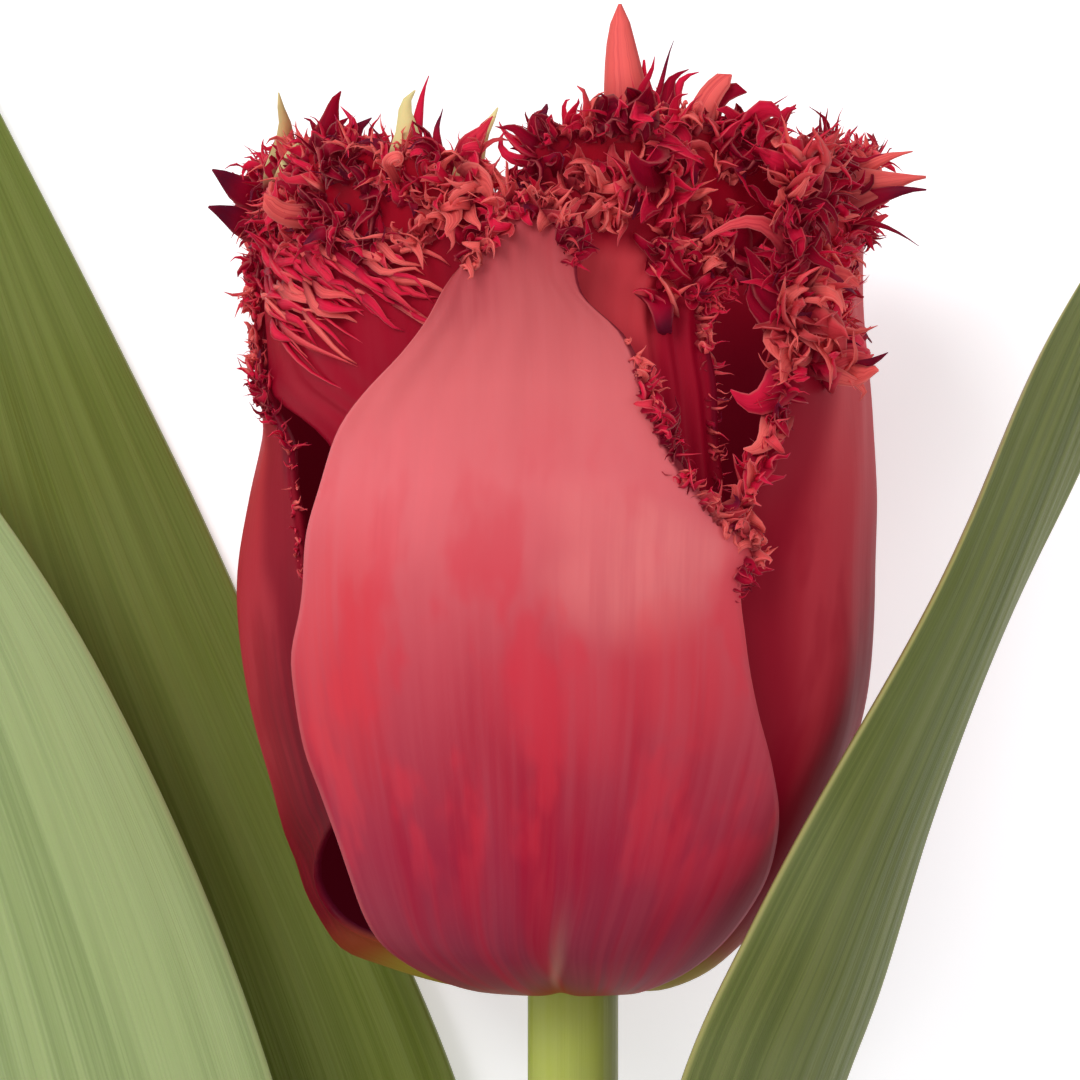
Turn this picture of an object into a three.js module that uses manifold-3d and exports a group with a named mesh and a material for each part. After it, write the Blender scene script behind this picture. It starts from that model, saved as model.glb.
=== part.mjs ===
// A fringed tulip, cut and laid down on a table: flower, stem and three leaves.
//
// Millimetres. X points to the flower's right, Y from the cut end towards the flower, Z up.
// The table is the plane z = 0. The origin is the spot on the table under the flower's belly,
// where the flower rests on its lowest petal.
//
// The flower is drawn in a frame of its own, whose Y axis is the flower's axis and whose origin is
// the joint of petals and stem. Directions round that axis are azimuths in degrees: 0 faces the
// sky, 90 faces right, 180 faces the table.
import * as THREE from "three";
import { mergeVertices } from "three/addons/utils/BufferGeometryUtils.js";
import Module from "manifold-3d";

const wasm = await Module();
wasm.setup();

// ---------------------------------------------------------------- driving dimensions
const FLOWER_TILT = 4; // degrees that the flower's axis rises towards the tips
const FLOWER_BASE_HEIGHT = 22.3; // of the joint of petals and stem, over the table
const BELLY_AT = 30; // distance along the flower's axis of the spot that rests on the table

// The flower's outline, from the joint to the crown: distance from the axis, distance along it.
const OUTLINE = [
  [4.3, 0.5],
  [7.4, 0.1],
  [11.0, 1.0],
  [14.2, 2.7],
  [17.0, 5.2],
  [19.8, 9.6],
  [22.4, 15.8],
  [24.5, 22.6],
  [25.4, 30.0],
  [25.4, 38.0],
  [24.8, 46.0],
  [24.5, 54.0],
  [24.7, 62.0],
  [25.2, 70.0],
  [25.8, 77.0],
];
// The flower hangs a little to the left of its stem: distance along the outline, sideways shift.
const SIDEWAYS = [
  [0, 0], [8, -1.4], [13, -2.1], [20, -1.6], [32, -1.15], [44, -1.25], [51, -0.9],
  [58, -0.75], [67, -1.2], [90, -1.1],
];
const CUP_RADIUS = 24; // of the flower near its crown
const TABLE_FROM = 0.2; // cosine of the azimuth, counted from straight down, where the table matters

const PETAL_THICKNESS = 0.9;
const INNER_PETAL_THICKNESS = 0.8;
const INNER_PETAL_DEPTH = 3.4; // how far the inner three petals lie inside the outline, low down
const EDGE_TUCK = 1.8; // how far an outer petal's edge goes in under the next one
const EDGE_THINNING = 0.25; // share of its thickness that a petal loses at its edges
const FURROW_WIDTH = 0.14; // of the furrow up a petal's middle, as a share of half the petal
const FREE_WIDTH = 70; // degrees across, under which a petal's tip rolls and waves less

const PETAL_ROWS = 12; // facets along a petal
const PETAL_COLUMNS = 10; // facets across it

const FRINGE_SPACING = 2.6; // along a petal's edge
const FRINGE_FACE_SPACING = 3.4; // along a row on a petal's face
const FRINGE_LENGTH = 5;
const FRINGE_RADIUS = 1; // of a tooth at its root
const FRINGE_FLATNESS = 0.6; // a tooth's thickness against its width
const FRINGE_ROOT = 1.2; // length of an edge tooth that is sunk in the petal
const FRINGE_FACE_ROOT = 0.3; // the same for a tooth on the petal's face
const FRINGE_INSET = 2.6; // between the rows of teeth on the petal's face
const FRINGE_CROWN = 0.82; // the way up the petal where those rows start
const FRINGE_CLEARANCE = 0.5; // kept between the fringe of one petal and the next petal
const FRINGE_TRIES = 8; // ways that a tooth is turned before it is left out

const STEM_LENGTH = 300;
const STEM_TOP_RADIUS = 3.65;
const STEM_FOOT_RADIUS = 4.2;
const STEM_FOOT_RIGHT = 6; // how far right of the flower the cut end lies
// The handles that bend the stem: one straight down from the flower, one at the cut end.
const STEM_TOP_HANDLE = 0.36 * STEM_LENGTH;
const STEM_FOOT_HANDLE = new THREE.Vector3(-5, 0.3 * STEM_LENGTH, 3.2);
const STEM_SIDES = 12;
const STEM_STEPS = 20;
const RECEPTACLE_RADIUS = 3.7; // the stem's top, which carries the petals, stamens and pistil
const RECEPTACLE_HEIGHT = 4.6;

const PISTIL_HEIGHT = 21;
const PISTIL_RADIUS = 3.1;
const STIGMA_RADIUS = 4.3;
const STAMENS = 6;
const STAMEN_RING = 3.1; // distance of the filaments' feet from the pistil's axis
const STAMEN_TURN = 30; // degrees from the sky to a stamen next to it
const FILAMENT_LENGTH = 9.5;
const FILAMENT_FOOT_RADIUS = 0.7;
const FILAMENT_TIP_RADIUS = 0.4;
const FILAMENT_LEAN = 17; // degrees away from the pistil
const ANTHER_LENGTH = 12;
const ANTHER_WIDTH = 2.6;
const ANTHER_FLATNESS = 0.62; // its thickness against its width

const LEAF_THICKNESS = 0.9;
const LEAF_ROWS = 18;
const LEAF_COLUMNS = 6;
const SEAT_GAP = 0.3; // between pieces that touch
const CLASP_GAP = 0.42; // between the stem and the leaf that goes round it
const LEAF_THINNING = 0.3; // share of its thickness that a leaf loses at its edges
const LEAF_WAVES = 17; // waves along a leaf's edges, in radians

const COLOURS = {
  petal_outer: 0xb8333f,
  petal_inner: 0x9e1a26,
  stem: 0x8f9e45,
  leaf_right: 0x667d5c,
  leaf_left: 0x526930,
  leaf_low: 0x809470,
  filament: 0xcfd39a,
  anther: 0x2c1c2c,
  pistil: 0xb3c07a,
};

const rad = THREE.MathUtils.degToRad;

// ---------------------------------------------------------------- numbers, curves and solids
const smooth = (low, high, x) => THREE.MathUtils.smoothstep(x, low, high);

// A smooth line through points [place, value], with flat ends beyond the first and last.
function through(points, x) {
  const last = points.length - 1;
  if (x <= points[0][0]) return points[0][1];
  if (x >= points[last][0]) return points[last][1];
  let k = 0;
  while (x > points[k + 1][0]) k++;
  const slope = (i) => {
    const a = points[Math.max(i - 1, 0)];
    const b = points[Math.min(i + 1, last)];
    return (b[1] - a[1]) / (b[0] - a[0]);
  };
  const span = points[k + 1][0] - points[k][0];
  const t = (x - points[k][0]) / span;
  const t2 = t * t;
  const t3 = t2 * t;
  return (
    (2 * t3 - 3 * t2 + 1) * points[k][1] +
    (t3 - 2 * t2 + t) * span * slope(k) +
    (3 * t2 - 2 * t3) * points[k + 1][1] +
    (t3 - t2) * span * slope(k + 1)
  );
}

// Repeatable random numbers from 0 to 1.
function randomFrom(seed) {
  let state = seed >>> 0;
  return () => {
    state = (Math.imul(state, 1664525) + 1013904223) >>> 0;
    return state / 4294967296;
  };
}

// A three.js geometry as a manifold-3d solid.
function solidOf(geometry) {
  const bare = geometry.clone();
  bare.deleteAttribute("normal");
  bare.deleteAttribute("uv");
  const merged = mergeVertices(bare, 1e-4);
  return new wasm.Manifold(
    new wasm.Mesh({
      numProp: 3,
      vertProperties: new Float32Array(merged.attributes.position.array),
      triVerts: new Uint32Array(merged.index.array),
    }),
  );
}

// A manifold-3d solid back as a three.js geometry.
function geometryOf(solid) {
  const mesh = solid.getMesh();
  return new THREE.BufferGeometry()
    .setAttribute("position", new THREE.BufferAttribute(mesh.vertProperties, 3))
    .setIndex(new THREE.BufferAttribute(mesh.triVerts, 1));
}

// The closed skin of a blade. pointAt(u, t, face) gives its points: u runs from 0 at the root to 1
// at the tip, t from -1 to 1 across, and face is 0 on the outer side and 1 on the inner. Both faces
// are split along the same diagonals.
function bladeGeometry(rows, columns, pointAt) {
  const positions = [];
  for (const face of [0, 1])
    for (let i = 0; i <= rows; i++)
      for (let j = 0; j <= columns; j++)
        positions.push(...pointAt(i / rows, (2 * j) / columns - 1, face).toArray());
  const faceSize = (rows + 1) * (columns + 1);
  const at = (i, j, face) => face * faceSize + i * (columns + 1) + j;
  const index = [];
  for (let i = 0; i < rows; i++)
    for (let j = 0; j < columns; j++) {
      const corners = (face) => [
        at(i, j, face),
        at(i, j + 1, face),
        at(i + 1, j + 1, face),
        at(i + 1, j, face),
      ];
      const [a, b, c, d] = corners(0);
      index.push(a, b, c, a, c, d);
      const [e, f, g, h] = corners(1);
      index.push(e, g, f, e, h, g);
    }
  const border = [];
  for (let j = 0; j < columns; j++) border.push([0, j]);
  for (let i = 0; i < rows; i++) border.push([i, columns]);
  for (let j = columns; j > 0; j--) border.push([rows, j]);
  for (let i = rows; i > 0; i--) border.push([i, 0]);
  border.forEach(([i, j], k) => {
    const [m, n] = border[(k + 1) % border.length];
    index.push(at(i, j, 1), at(m, n, 1), at(m, n, 0));
    index.push(at(i, j, 1), at(m, n, 0), at(i, j, 0));
  });
  return new THREE.BufferGeometry()
    .setAttribute("position", new THREE.Float32BufferAttribute(positions, 3))
    .setIndex(index);
}

function material(kind, roughness) {
  return new THREE.MeshStandardMaterial({
    color: COLOURS[kind],
    roughness,
    metalness: 0,
  });
}

function namedMesh(name, geometry, look) {
  const mesh = new THREE.Mesh(geometry, look);
  mesh.name = name;
  return mesh;
}

// ---------------------------------------------------------------- petals
const outline = new THREE.SplineCurve(OUTLINE.map(([r, h]) => new THREE.Vector2(r, h)));
const OUTLINE_LENGTH = outline.getLength();

// A petal's length runs along the outline. The rest of its shape is told against the way u from its
// root, 0, to its tip, 1.
//   left, right: azimuth of each edge.
//   depth: how far inside the outline the outer face lies.
//   tuckLeft, tuckRight: how far an edge is tucked in under its neighbour, low down.
//   rollLeft, rollRight: how far a free edge rolls outwards. wave: half the height of its waves.
//   groove: depth of the furrow up the middle. round: how much shorter the petal is at its edges.
//   fringeLeft, fringeRight: the way up where each edge's fringe starts.
//   rows: rows of teeth on the face, near the tip.
//   shards: broad teeth on the tip, as place across, length and radius.
const outerPetal = {
  look: "petal_outer",
  depth: [[0, 0], [1, 0]],
  thickness: PETAL_THICKNESS,
  tuckLeft: 0,
  tuckRight: 0,
  rollLeft: 0.5,
  rollRight: 0.6,
  wave: 0.3,
  groove: 0,
  round: 0.04,
  rows: 1,
  shards: [],
};
const innerPetal = {
  ...outerPetal,
  look: "petal_inner",
  thickness: INNER_PETAL_THICKNESS,
  rollLeft: 0,
  rollRight: 0,
  round: 0.02,
  rows: 2,
};
const PETALS = [
  {
    ...outerPetal,
    name: "petal_outer_front",
    length: 73,
    left: [
      [0, -50], [0.1, -51], [0.2, -53], [0.3, -53], [0.36, -54.5], [0.42, -56.5], [0.51, -55.5],
      [0.57, -52], [0.68, -48.5], [0.73, -46.5], [0.77, -43], [0.82, -36], [0.86, -29.5],
      [0.9, -24], [0.95, -19.5], [1, -14],
    ],
    right: [
      [0, 38], [0.08, 46], [0.16, 58], [0.25, 59], [0.33, 53.5], [0.4, 45], [0.46, 38.5],
      [0.54, 34.5], [0.6, 33], [0.635, 36.5], [0.66, 32], [0.69, 25], [0.72, 21], [0.76, 17.5],
      [0.83, 13.5], [0.88, 10.5], [0.93, 4], [1, 3],
    ],
    rollRight: 1.5,
    wave: 0.25,
    groove: 0.9,
    round: 0.05,
    fringeLeft: 0.95,
    fringeRight: 0.5,
    rows: 0,
    seed: 11,
  },
  {
    ...outerPetal,
    name: "petal_outer_right",
    length: 77.5,
    left: [
      [0, 42], [0.08, 50], [0.15, 51], [0.24, 47], [0.34, 42], [0.44, 34.5], [0.52, 30],
      [0.58, 29.5], [0.64, 32.5], [0.7, 37.5], [0.76, 42], [0.85, 43], [0.93, 41], [1, 43],
    ],
    right: [[0, 148], [0.3, 150], [0.6, 150], [0.8, 144], [1, 126]],
    depth: [[0, 0], [1, 0.2]],
    round: 0.02,
    tuckLeft: EDGE_TUCK,
    rollLeft: 1.2,
    groove: 0.7,
    fringeLeft: 0.5,
    fringeRight: 0.8,
    shards: [[-0.6, 6, 1.4], [0, 6, 1.4]],
    seed: 23,
  },
  {
    ...outerPetal,
    name: "petal_outer_left",
    length: 76,
    left: [[0, -208], [0.3, -206], [0.6, -206], [0.8, -196], [1, -168]],
    right: [
      [0, -55], [0.1, -56], [0.155, -62], [0.19, -76], [0.22, -80], [0.26, -77], [0.3, -64],
      [0.33, -54], [0.38, -50.5], [0.54, -50.5], [0.59, -55.5], [0.66, -57], [0.72, -61],
      [0.76, -72], [0.84, -94], [0.92, -98], [1, -114],
    ],
    depth: [
      [0, 0], [0.08, 0], [0.125, -0.3], [0.16, -1], [0.2, -1.6], [0.24, -1.7], [0.28, -0.9],
      [0.33, -0.2], [0.38, 0], [0.58, 0], [0.66, 0.5], [0.74, 1], [1, 0.8],
    ],
    tuckRight: EDGE_TUCK,
    fringeLeft: 0.8,
    fringeRight: 0.56,
    seed: 37,
  },
  {
    ...innerPetal,
    name: "petal_inner_left",
    length: 77,
    left: [
      [0, -92], [0.2, -92], [0.34, -80], [0.44, -56], [0.58, -49], [0.68, -50], [0.73, -60],
      [0.78, -88], [0.86, -97], [0.93, -97], [1, -84],
    ],
    right: [[0, -36], [0.3, -24], [0.5, -14], [0.8, -15], [1, -15]],
    depth: [[0, INNER_PETAL_DEPTH], [0.6, INNER_PETAL_DEPTH], [0.8, 1.95], [1, 1.6]],
    rollLeft: 0.5,
    fringeLeft: 0.6,
    fringeRight: 0.84,
    shards: [[-0.4, 6, 1.4], [0.5, 5.5, 1.4]],
    seed: 44,
  },
  {
    ...innerPetal,
    name: "petal_inner_right",
    length: 78.5,
    left: [[0, 24], [0.3, 14], [0.5, -4], [0.8, -8], [1, -5]],
    right: [
      [0, 84], [0.2, 80], [0.34, 66], [0.46, 42], [0.56, 35], [0.66, 33.5], [0.74, 31.5],
      [0.83, 31], [0.88, 40], [0.93, 50], [1, 51],
    ],
    depth: [[0, INNER_PETAL_DEPTH], [0.6, INNER_PETAL_DEPTH], [0.8, 2.6], [1, 2.4]],
    fringeLeft: 0.84,
    fringeRight: 0.56,
    shards: [[-0.25, 10.5, 2], [0, 7, 1.6], [-0.74, 6.4, 1.5], [0.4, 6.6, 1.5]],
    seed: 59,
  },
  {
    ...innerPetal,
    name: "petal_inner_back",
    length: 77,
    left: [[0, 136], [0.3, 128], [0.6, 122], [0.85, 126], [1, 142]],
    right: [[0, 196], [0.3, 208], [0.6, 220], [0.85, 218], [1, 200]],
    depth: [[0, INNER_PETAL_DEPTH], [0.6, INNER_PETAL_DEPTH], [1, 2.6]],
    round: 0.03,
    fringeLeft: 0.84,
    fringeRight: 0.84,
    rows: 0,
    seed: 67,
  },
];

const tiltSine = Math.sin(rad(FLOWER_TILT));
const tiltCosine = Math.cos(rad(FLOWER_TILT));

// How far from the flower's axis the table lies, at a distance along the axis and an azimuth.
function tableRadius(along, azimuth) {
  const down = -Math.cos(azimuth);
  if (down <= TABLE_FROM) return Infinity;
  return (FLOWER_BASE_HEIGHT + along * tiltSine) / (tiltCosine * down);
}

// A point of a petal in the flower's frame: t from -1 to 1 across, depth inwards from its outer face.
function petalPoint(petal, u, t, depth) {
  const side = Math.abs(t);
  const run = petal.length * u * (1 - petal.round * side * side * Math.pow(u, 4));
  const way = Math.min(run / OUTLINE_LENGTH, 1);
  const [r, h] = outline.getPointAt(way).toArray();
  const tangent = outline.getTangentAt(way);
  const left = through(petal.left, u);
  const right = through(petal.right, u);
  const azimuth = rad((left + right) / 2 + (t * (right - left)) / 2);
  const onTable = tableRadius(h, azimuth);
  const [tuck, roll] = t < 0 ? [petal.tuckLeft, petal.rollLeft] : [petal.tuckRight, petal.rollRight];
  const edge = smooth(0.5, 1, side);
  const tucked = edge * smooth(0, 0.12, u) * (1 - smooth(0.54, 0.7, u));
  const rolled = edge * smooth(0.55, 0.9, u) * Math.min((right - left) / FREE_WIDTH, 1);
  const wave = roll > 0 ? petal.wave * (1 + Math.sin(14 * u + 3 * t + petal.seed)) : 0;
  const furrow =
    Math.exp(-Math.pow(side / FURROW_WIDTH, 2)) * smooth(0, 0.1, u) * (1 - smooth(0.1, 0.34, u));
  const inwards =
    depth +
    through(petal.depth, u) +
    tuck * tucked +
    petal.groove * furrow -
    (roll + wave) * rolled;
  const radius = Math.min(Math.min(r, onTable) - inwards * tangent.y, onTable - depth);
  return new THREE.Vector3(
    radius * Math.sin(azimuth) + through(SIDEWAYS, run),
    h + inwards * tangent.x,
    radius * Math.cos(azimuth),
  );
}

function petalThickness(petal, u, t) {
  const nearEdge = Math.max(smooth(0.6, 1, Math.abs(t)), smooth(0.8, 1, u));
  return petal.thickness * (1 - EDGE_THINNING * nearEdge);
}

// Places round a petal's free edge, or inside it by an inset, from its left side over the tip to its
// right side. Each has the direction out of the edge and the direction off the outer face.
function petalEdge(petal, inset, fromLeft, fromRight) {
  const top = 1 - inset / petal.length;
  const sides = (u) => {
    const halfAngle = rad(through(petal.right, u) - through(petal.left, u)) / 2;
    return 1 - inset / (CUP_RADIUS * halfAngle);
  };
  const steps = 60;
  const places = [];
  for (let k = 0; k < steps; k++) {
    const u = THREE.MathUtils.lerp(fromLeft, top, k / steps);
    places.push([u, -sides(u)]);
  }
  for (let k = 0; k <= steps; k++) places.push([top, sides(top) * ((2 * k) / steps - 1)]);
  for (let k = 1; k <= steps; k++) {
    const u = THREE.MathUtils.lerp(top, fromRight, k / steps);
    places.push([u, sides(u)]);
  }
  const middle = (u, t) => petalPoint(petal, u, t, petalThickness(petal, u, t) / 2);
  const points = places.map(([u, t]) => middle(u, t));
  return places.map(([u, t], k) => {
    const before = points[Math.max(k - 2, 0)];
    const after = points[Math.min(k + 2, points.length - 1)];
    const run = after.clone().sub(before).normalize();
    const low = Math.min(u, 0.98);
    const across = middle(low, Math.min(t + 0.05, 1)).sub(middle(low, Math.max(t - 0.05, -1)));
    const up = middle(low + 0.02, t).sub(middle(low - 0.02, t));
    const off = across.cross(up).normalize();
    const out = off.clone().cross(run).normalize();
    return { u, t, point: points[k], run, off, out };
  });
}

// One tooth of fringe: a flat spike of three sides, standing at a point and sunk a length behind it.
function tooth({ point, direction, off, length, radius, sunk }) {
  const shape = new THREE.ConeGeometry(radius, length + sunk, 3, 1)
    .translate(0, (length - sunk) / 2, 0)
    .scale(1, 1, FRINGE_FLATNESS);
  const y = direction.clone().normalize();
  const x = y.clone().cross(off).normalize();
  const z = x.clone().cross(y);
  return solidOf(shape.applyMatrix4(new THREE.Matrix4().makeBasis(x, y, z).setPosition(point)));
}

// The teeth of a petal. Each is turned until it is clear of the other petals and of the table, and
// is left out where no turn clears it.
function fringeOf(petal, others) {
  const random = randomFrom(petal.seed);
  const teeth = [];

  function plant({ point, run, off, out }, size) {
    for (let turn = 0; turn < FRINGE_TRIES; turn++) {
      const away = size.onFace ? 0.8 + 0.5 * random() : (random() - 0.3) * 1.2;
      const slew = (random() - 0.5) * size.slew;
      const spike = {
        ...size,
        point: point.clone().addScaledVector(out, size.onFace ? 0 : -0.2),
        direction: out.clone().addScaledVector(off, away).addScaledVector(run, slew),
        off,
      };
      const wide = tooth({
        ...spike,
        length: spike.length + FRINGE_CLEARANCE,
        sunk: spike.sunk + FRINGE_CLEARANCE,
        radius: spike.radius + 2 * FRINGE_CLEARANCE,
      });
      if (lowestOf(wide) < FRINGE_CLEARANCE) continue;
      if (others.some((other) => !other.intersect(wide).isEmpty())) continue;
      teeth.push(tooth(spike));
      return;
    }
  }

  for (let row = 0; row <= petal.rows; row++) {
    const onFace = row > 0;
    const edge = onFace
      ? petalEdge(petal, row * FRINGE_INSET, FRINGE_CROWN, FRINGE_CROWN)
      : petalEdge(petal, 0, petal.fringeLeft, petal.fringeRight);
    const spacing = onFace ? FRINGE_FACE_SPACING : FRINGE_SPACING;
    let walked = 0;
    let next = spacing * (0.3 + 0.5 * random());
    for (let k = 1; k < edge.length; k++) {
      walked += edge[k].point.distanceTo(edge[k - 1].point);
      if (walked < next) continue;
      next += spacing * (0.75 + 0.5 * random());
      const high = smooth(0.55, 0.92, edge[k].u);
      plant(edge[k], {
        onFace,
        length: FRINGE_LENGTH * (0.5 + 0.5 * high) * (0.7 + 0.6 * random()) * (onFace ? 0.8 : 1),
        radius: FRINGE_RADIUS * (0.85 + 0.35 * random()) * (0.8 + 0.2 * high),
        sunk: onFace ? FRINGE_FACE_ROOT : FRINGE_ROOT,
        slew: 1.1,
      });
    }
  }
  const tip = petalEdge(petal, 0, 0.98, 0.98);
  for (const [across, length, radius] of petal.shards) {
    const place = tip.reduce((best, next) =>
      next.u >= best.u && Math.abs(next.t - across) < Math.abs(best.t - across) ? next : best,
    );
    plant(place, { onFace: false, length, radius, sunk: FRINGE_ROOT, slew: 0.3 });
  }
  return teeth;
}

// The lowest height over the table of a solid drawn in the flower's frame.
function lowestOf(solid) {
  const { vertProperties } = solid.getMesh();
  const point = new THREE.Vector3();
  let low = Infinity;
  for (let k = 0; k < vertProperties.length; k += 3) {
    point.fromArray(vertProperties, k).applyMatrix4(flower.matrix);
    low = Math.min(low, point.z);
  }
  return low;
}

function petalBlade(petal) {
  return solidOf(
    bladeGeometry(PETAL_ROWS, PETAL_COLUMNS, (u, t, face) =>
      petalPoint(petal, u, t, face * petalThickness(petal, u, t)),
    ),
  );
}

function petals() {
  const blades = PETALS.map(petalBlade);
  const whole = [];
  return PETALS.map((petal, k) => {
    const others = [...whole, ...blades.slice(k + 1)];
    const teeth = fringeOf(petal, others);
    const solid = wasm.Manifold.union([blades[k], ...teeth]);
    const body = solid.decompose().sort((a, b) => b.volume() - a.volume())[0];
    whole.push(body);
    return namedMesh(petal.name, geometryOf(body), material(petal.look, 0.45));
  });
}

// ---------------------------------------------------------------- pistil and stamens
const CENTRE_FOOT = RECEPTACLE_HEIGHT + SEAT_GAP; // height where pistil and stamens stand

function pistil() {
  const profile = [
    [0, 0],
    [1.9, 0],
    [2.3, 1.5],
    [PISTIL_RADIUS, 6],
    [PISTIL_RADIUS, 14],
    [2.3, PISTIL_HEIGHT - 2.6],
    [STIGMA_RADIUS - 0.8, PISTIL_HEIGHT - 1.2],
    [STIGMA_RADIUS, PISTIL_HEIGHT],
    [STIGMA_RADIUS - 1.4, PISTIL_HEIGHT + 0.9],
    [0, PISTIL_HEIGHT + 0.3],
  ].map(([r, h]) => new THREE.Vector2(r, h + CENTRE_FOOT));
  const shape = new THREE.LatheGeometry(profile, 18);
  const place = shape.attributes.position;
  for (let k = 0; k < place.count; k++) {
    const [x, y, z] = [place.getX(k), place.getY(k), place.getZ(k)];
    const lobes = smooth(PISTIL_HEIGHT - 4, PISTIL_HEIGHT, y - CENTRE_FOOT) * 0.26 + 0.07;
    const swell = 1 + lobes * Math.cos(3 * Math.atan2(x, z));
    place.setXYZ(k, x * swell, y, z * swell);
  }
  return namedMesh("pistil", geometryOf(solidOf(shape)), material("pistil", 0.6));
}

function stamen(k) {
  const filament = new THREE.CylinderGeometry(
    FILAMENT_TIP_RADIUS,
    FILAMENT_FOOT_RADIUS,
    FILAMENT_LENGTH,
    6,
    1,
  ).translate(0, FILAMENT_LENGTH / 2, 0);
  const anther = new THREE.CapsuleGeometry(ANTHER_WIDTH / 2, ANTHER_LENGTH - ANTHER_WIDTH, 2, 6)
    .translate(0, FILAMENT_LENGTH + SEAT_GAP + ANTHER_LENGTH / 2, 0)
    .scale(1, 1, ANTHER_FLATNESS);
  const lean = rad(FILAMENT_LEAN);
  const post = new THREE.Group();
  post.rotation.z = -lean;
  post.position.set(STAMEN_RING, CENTRE_FOOT + FILAMENT_FOOT_RADIUS * Math.sin(lean), 0);
  post.add(namedMesh(`filament_${k}`, filament, material("filament", 0.6)));
  post.add(namedMesh(`anther_${k}`, geometryOf(solidOf(anther)), material("anther", 0.9)));
  const turned = new THREE.Group();
  turned.rotation.y = rad(STAMEN_TURN + (360 / STAMENS) * k);
  turned.add(post);
  return turned;
}

// ---------------------------------------------------------------- the flower, laid down
const flower = new THREE.Group();
flower.rotation.x = rad(FLOWER_TILT);
const axisHeight = (FLOWER_BASE_HEIGHT + BELLY_AT * tiltSine) / tiltCosine;
flower.position.set(0, -(BELLY_AT * tiltCosine + axisHeight * tiltSine), FLOWER_BASE_HEIGHT);
flower.updateMatrix();

flower.add(...petals(), pistil());
for (let k = 1; k <= STAMENS; k++) flower.add(stamen(k));

// ---------------------------------------------------------------- stem
const joint = flower.position.clone();
const flowerAxis = new THREE.Vector3(0, 1, 0).applyEuler(flower.rotation);
const stemFoot = new THREE.Vector3(
  STEM_FOOT_RIGHT,
  joint.y - STEM_LENGTH,
  STEM_FOOT_RADIUS * Math.cos(Math.PI / STEM_SIDES),
);
const stemLine = new THREE.CubicBezierCurve3(
  joint,
  joint.clone().addScaledVector(flowerAxis, -STEM_TOP_HANDLE),
  stemFoot.clone().add(STEM_FOOT_HANDLE),
  stemFoot,
);

// The stem's middle and thickness, a share of the way from the flower to the cut.
function stemAt(share) {
  return {
    centre: stemLine.getPointAt(share),
    radius: THREE.MathUtils.lerp(STEM_TOP_RADIUS, STEM_FOOT_RADIUS, smooth(0, 1, share)),
  };
}

function stem() {
  const rings = [];
  for (let k = STEM_STEPS; k >= 0; k--) {
    const share = k / STEM_STEPS;
    const { centre, radius } = stemAt(share);
    rings.push({ centre, radius, along: stemLine.getTangentAt(share).negate() });
  }
  const top = [
    [0.6, STEM_TOP_RADIUS],
    [1.6, RECEPTACLE_RADIUS],
    [RECEPTACLE_HEIGHT, RECEPTACLE_RADIUS],
  ];
  for (const [rise, radius] of top)
    rings.push({ centre: joint.clone().addScaledVector(flowerAxis, rise), radius, along: flowerAxis });
  const positions = [];
  for (const { centre, radius, along } of rings) {
    const right = new THREE.Vector3(1, 0, 0).addScaledVector(along, -along.x).normalize();
    const up = right.clone().cross(along);
    for (let k = 0; k < STEM_SIDES; k++) {
      const turn = (2 * Math.PI * (k + 0.5)) / STEM_SIDES;
      const out = right.clone().multiplyScalar(Math.cos(turn)).addScaledVector(up, Math.sin(turn));
      positions.push(...centre.clone().addScaledVector(out, radius).toArray());
    }
  }
  const index = [];
  for (let i = 0; i + 1 < rings.length; i++)
    for (let k = 0; k < STEM_SIDES; k++) {
      const [a, b] = [i * STEM_SIDES + k, i * STEM_SIDES + ((k + 1) % STEM_SIDES)];
      index.push(a, a + STEM_SIDES, b + STEM_SIDES, a, b + STEM_SIDES, b);
    }
  const last = (rings.length - 1) * STEM_SIDES;
  for (let k = 1; k + 1 < STEM_SIDES; k++) {
    index.push(0, k, k + 1);
    index.push(last, last + k + 1, last + k);
  }
  const geometry = new THREE.BufferGeometry()
    .setAttribute("position", new THREE.Float32BufferAttribute(positions, 3))
    .setIndex(index);
  return namedMesh("stem", geometry, material("stem", 0.5));
}

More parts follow.
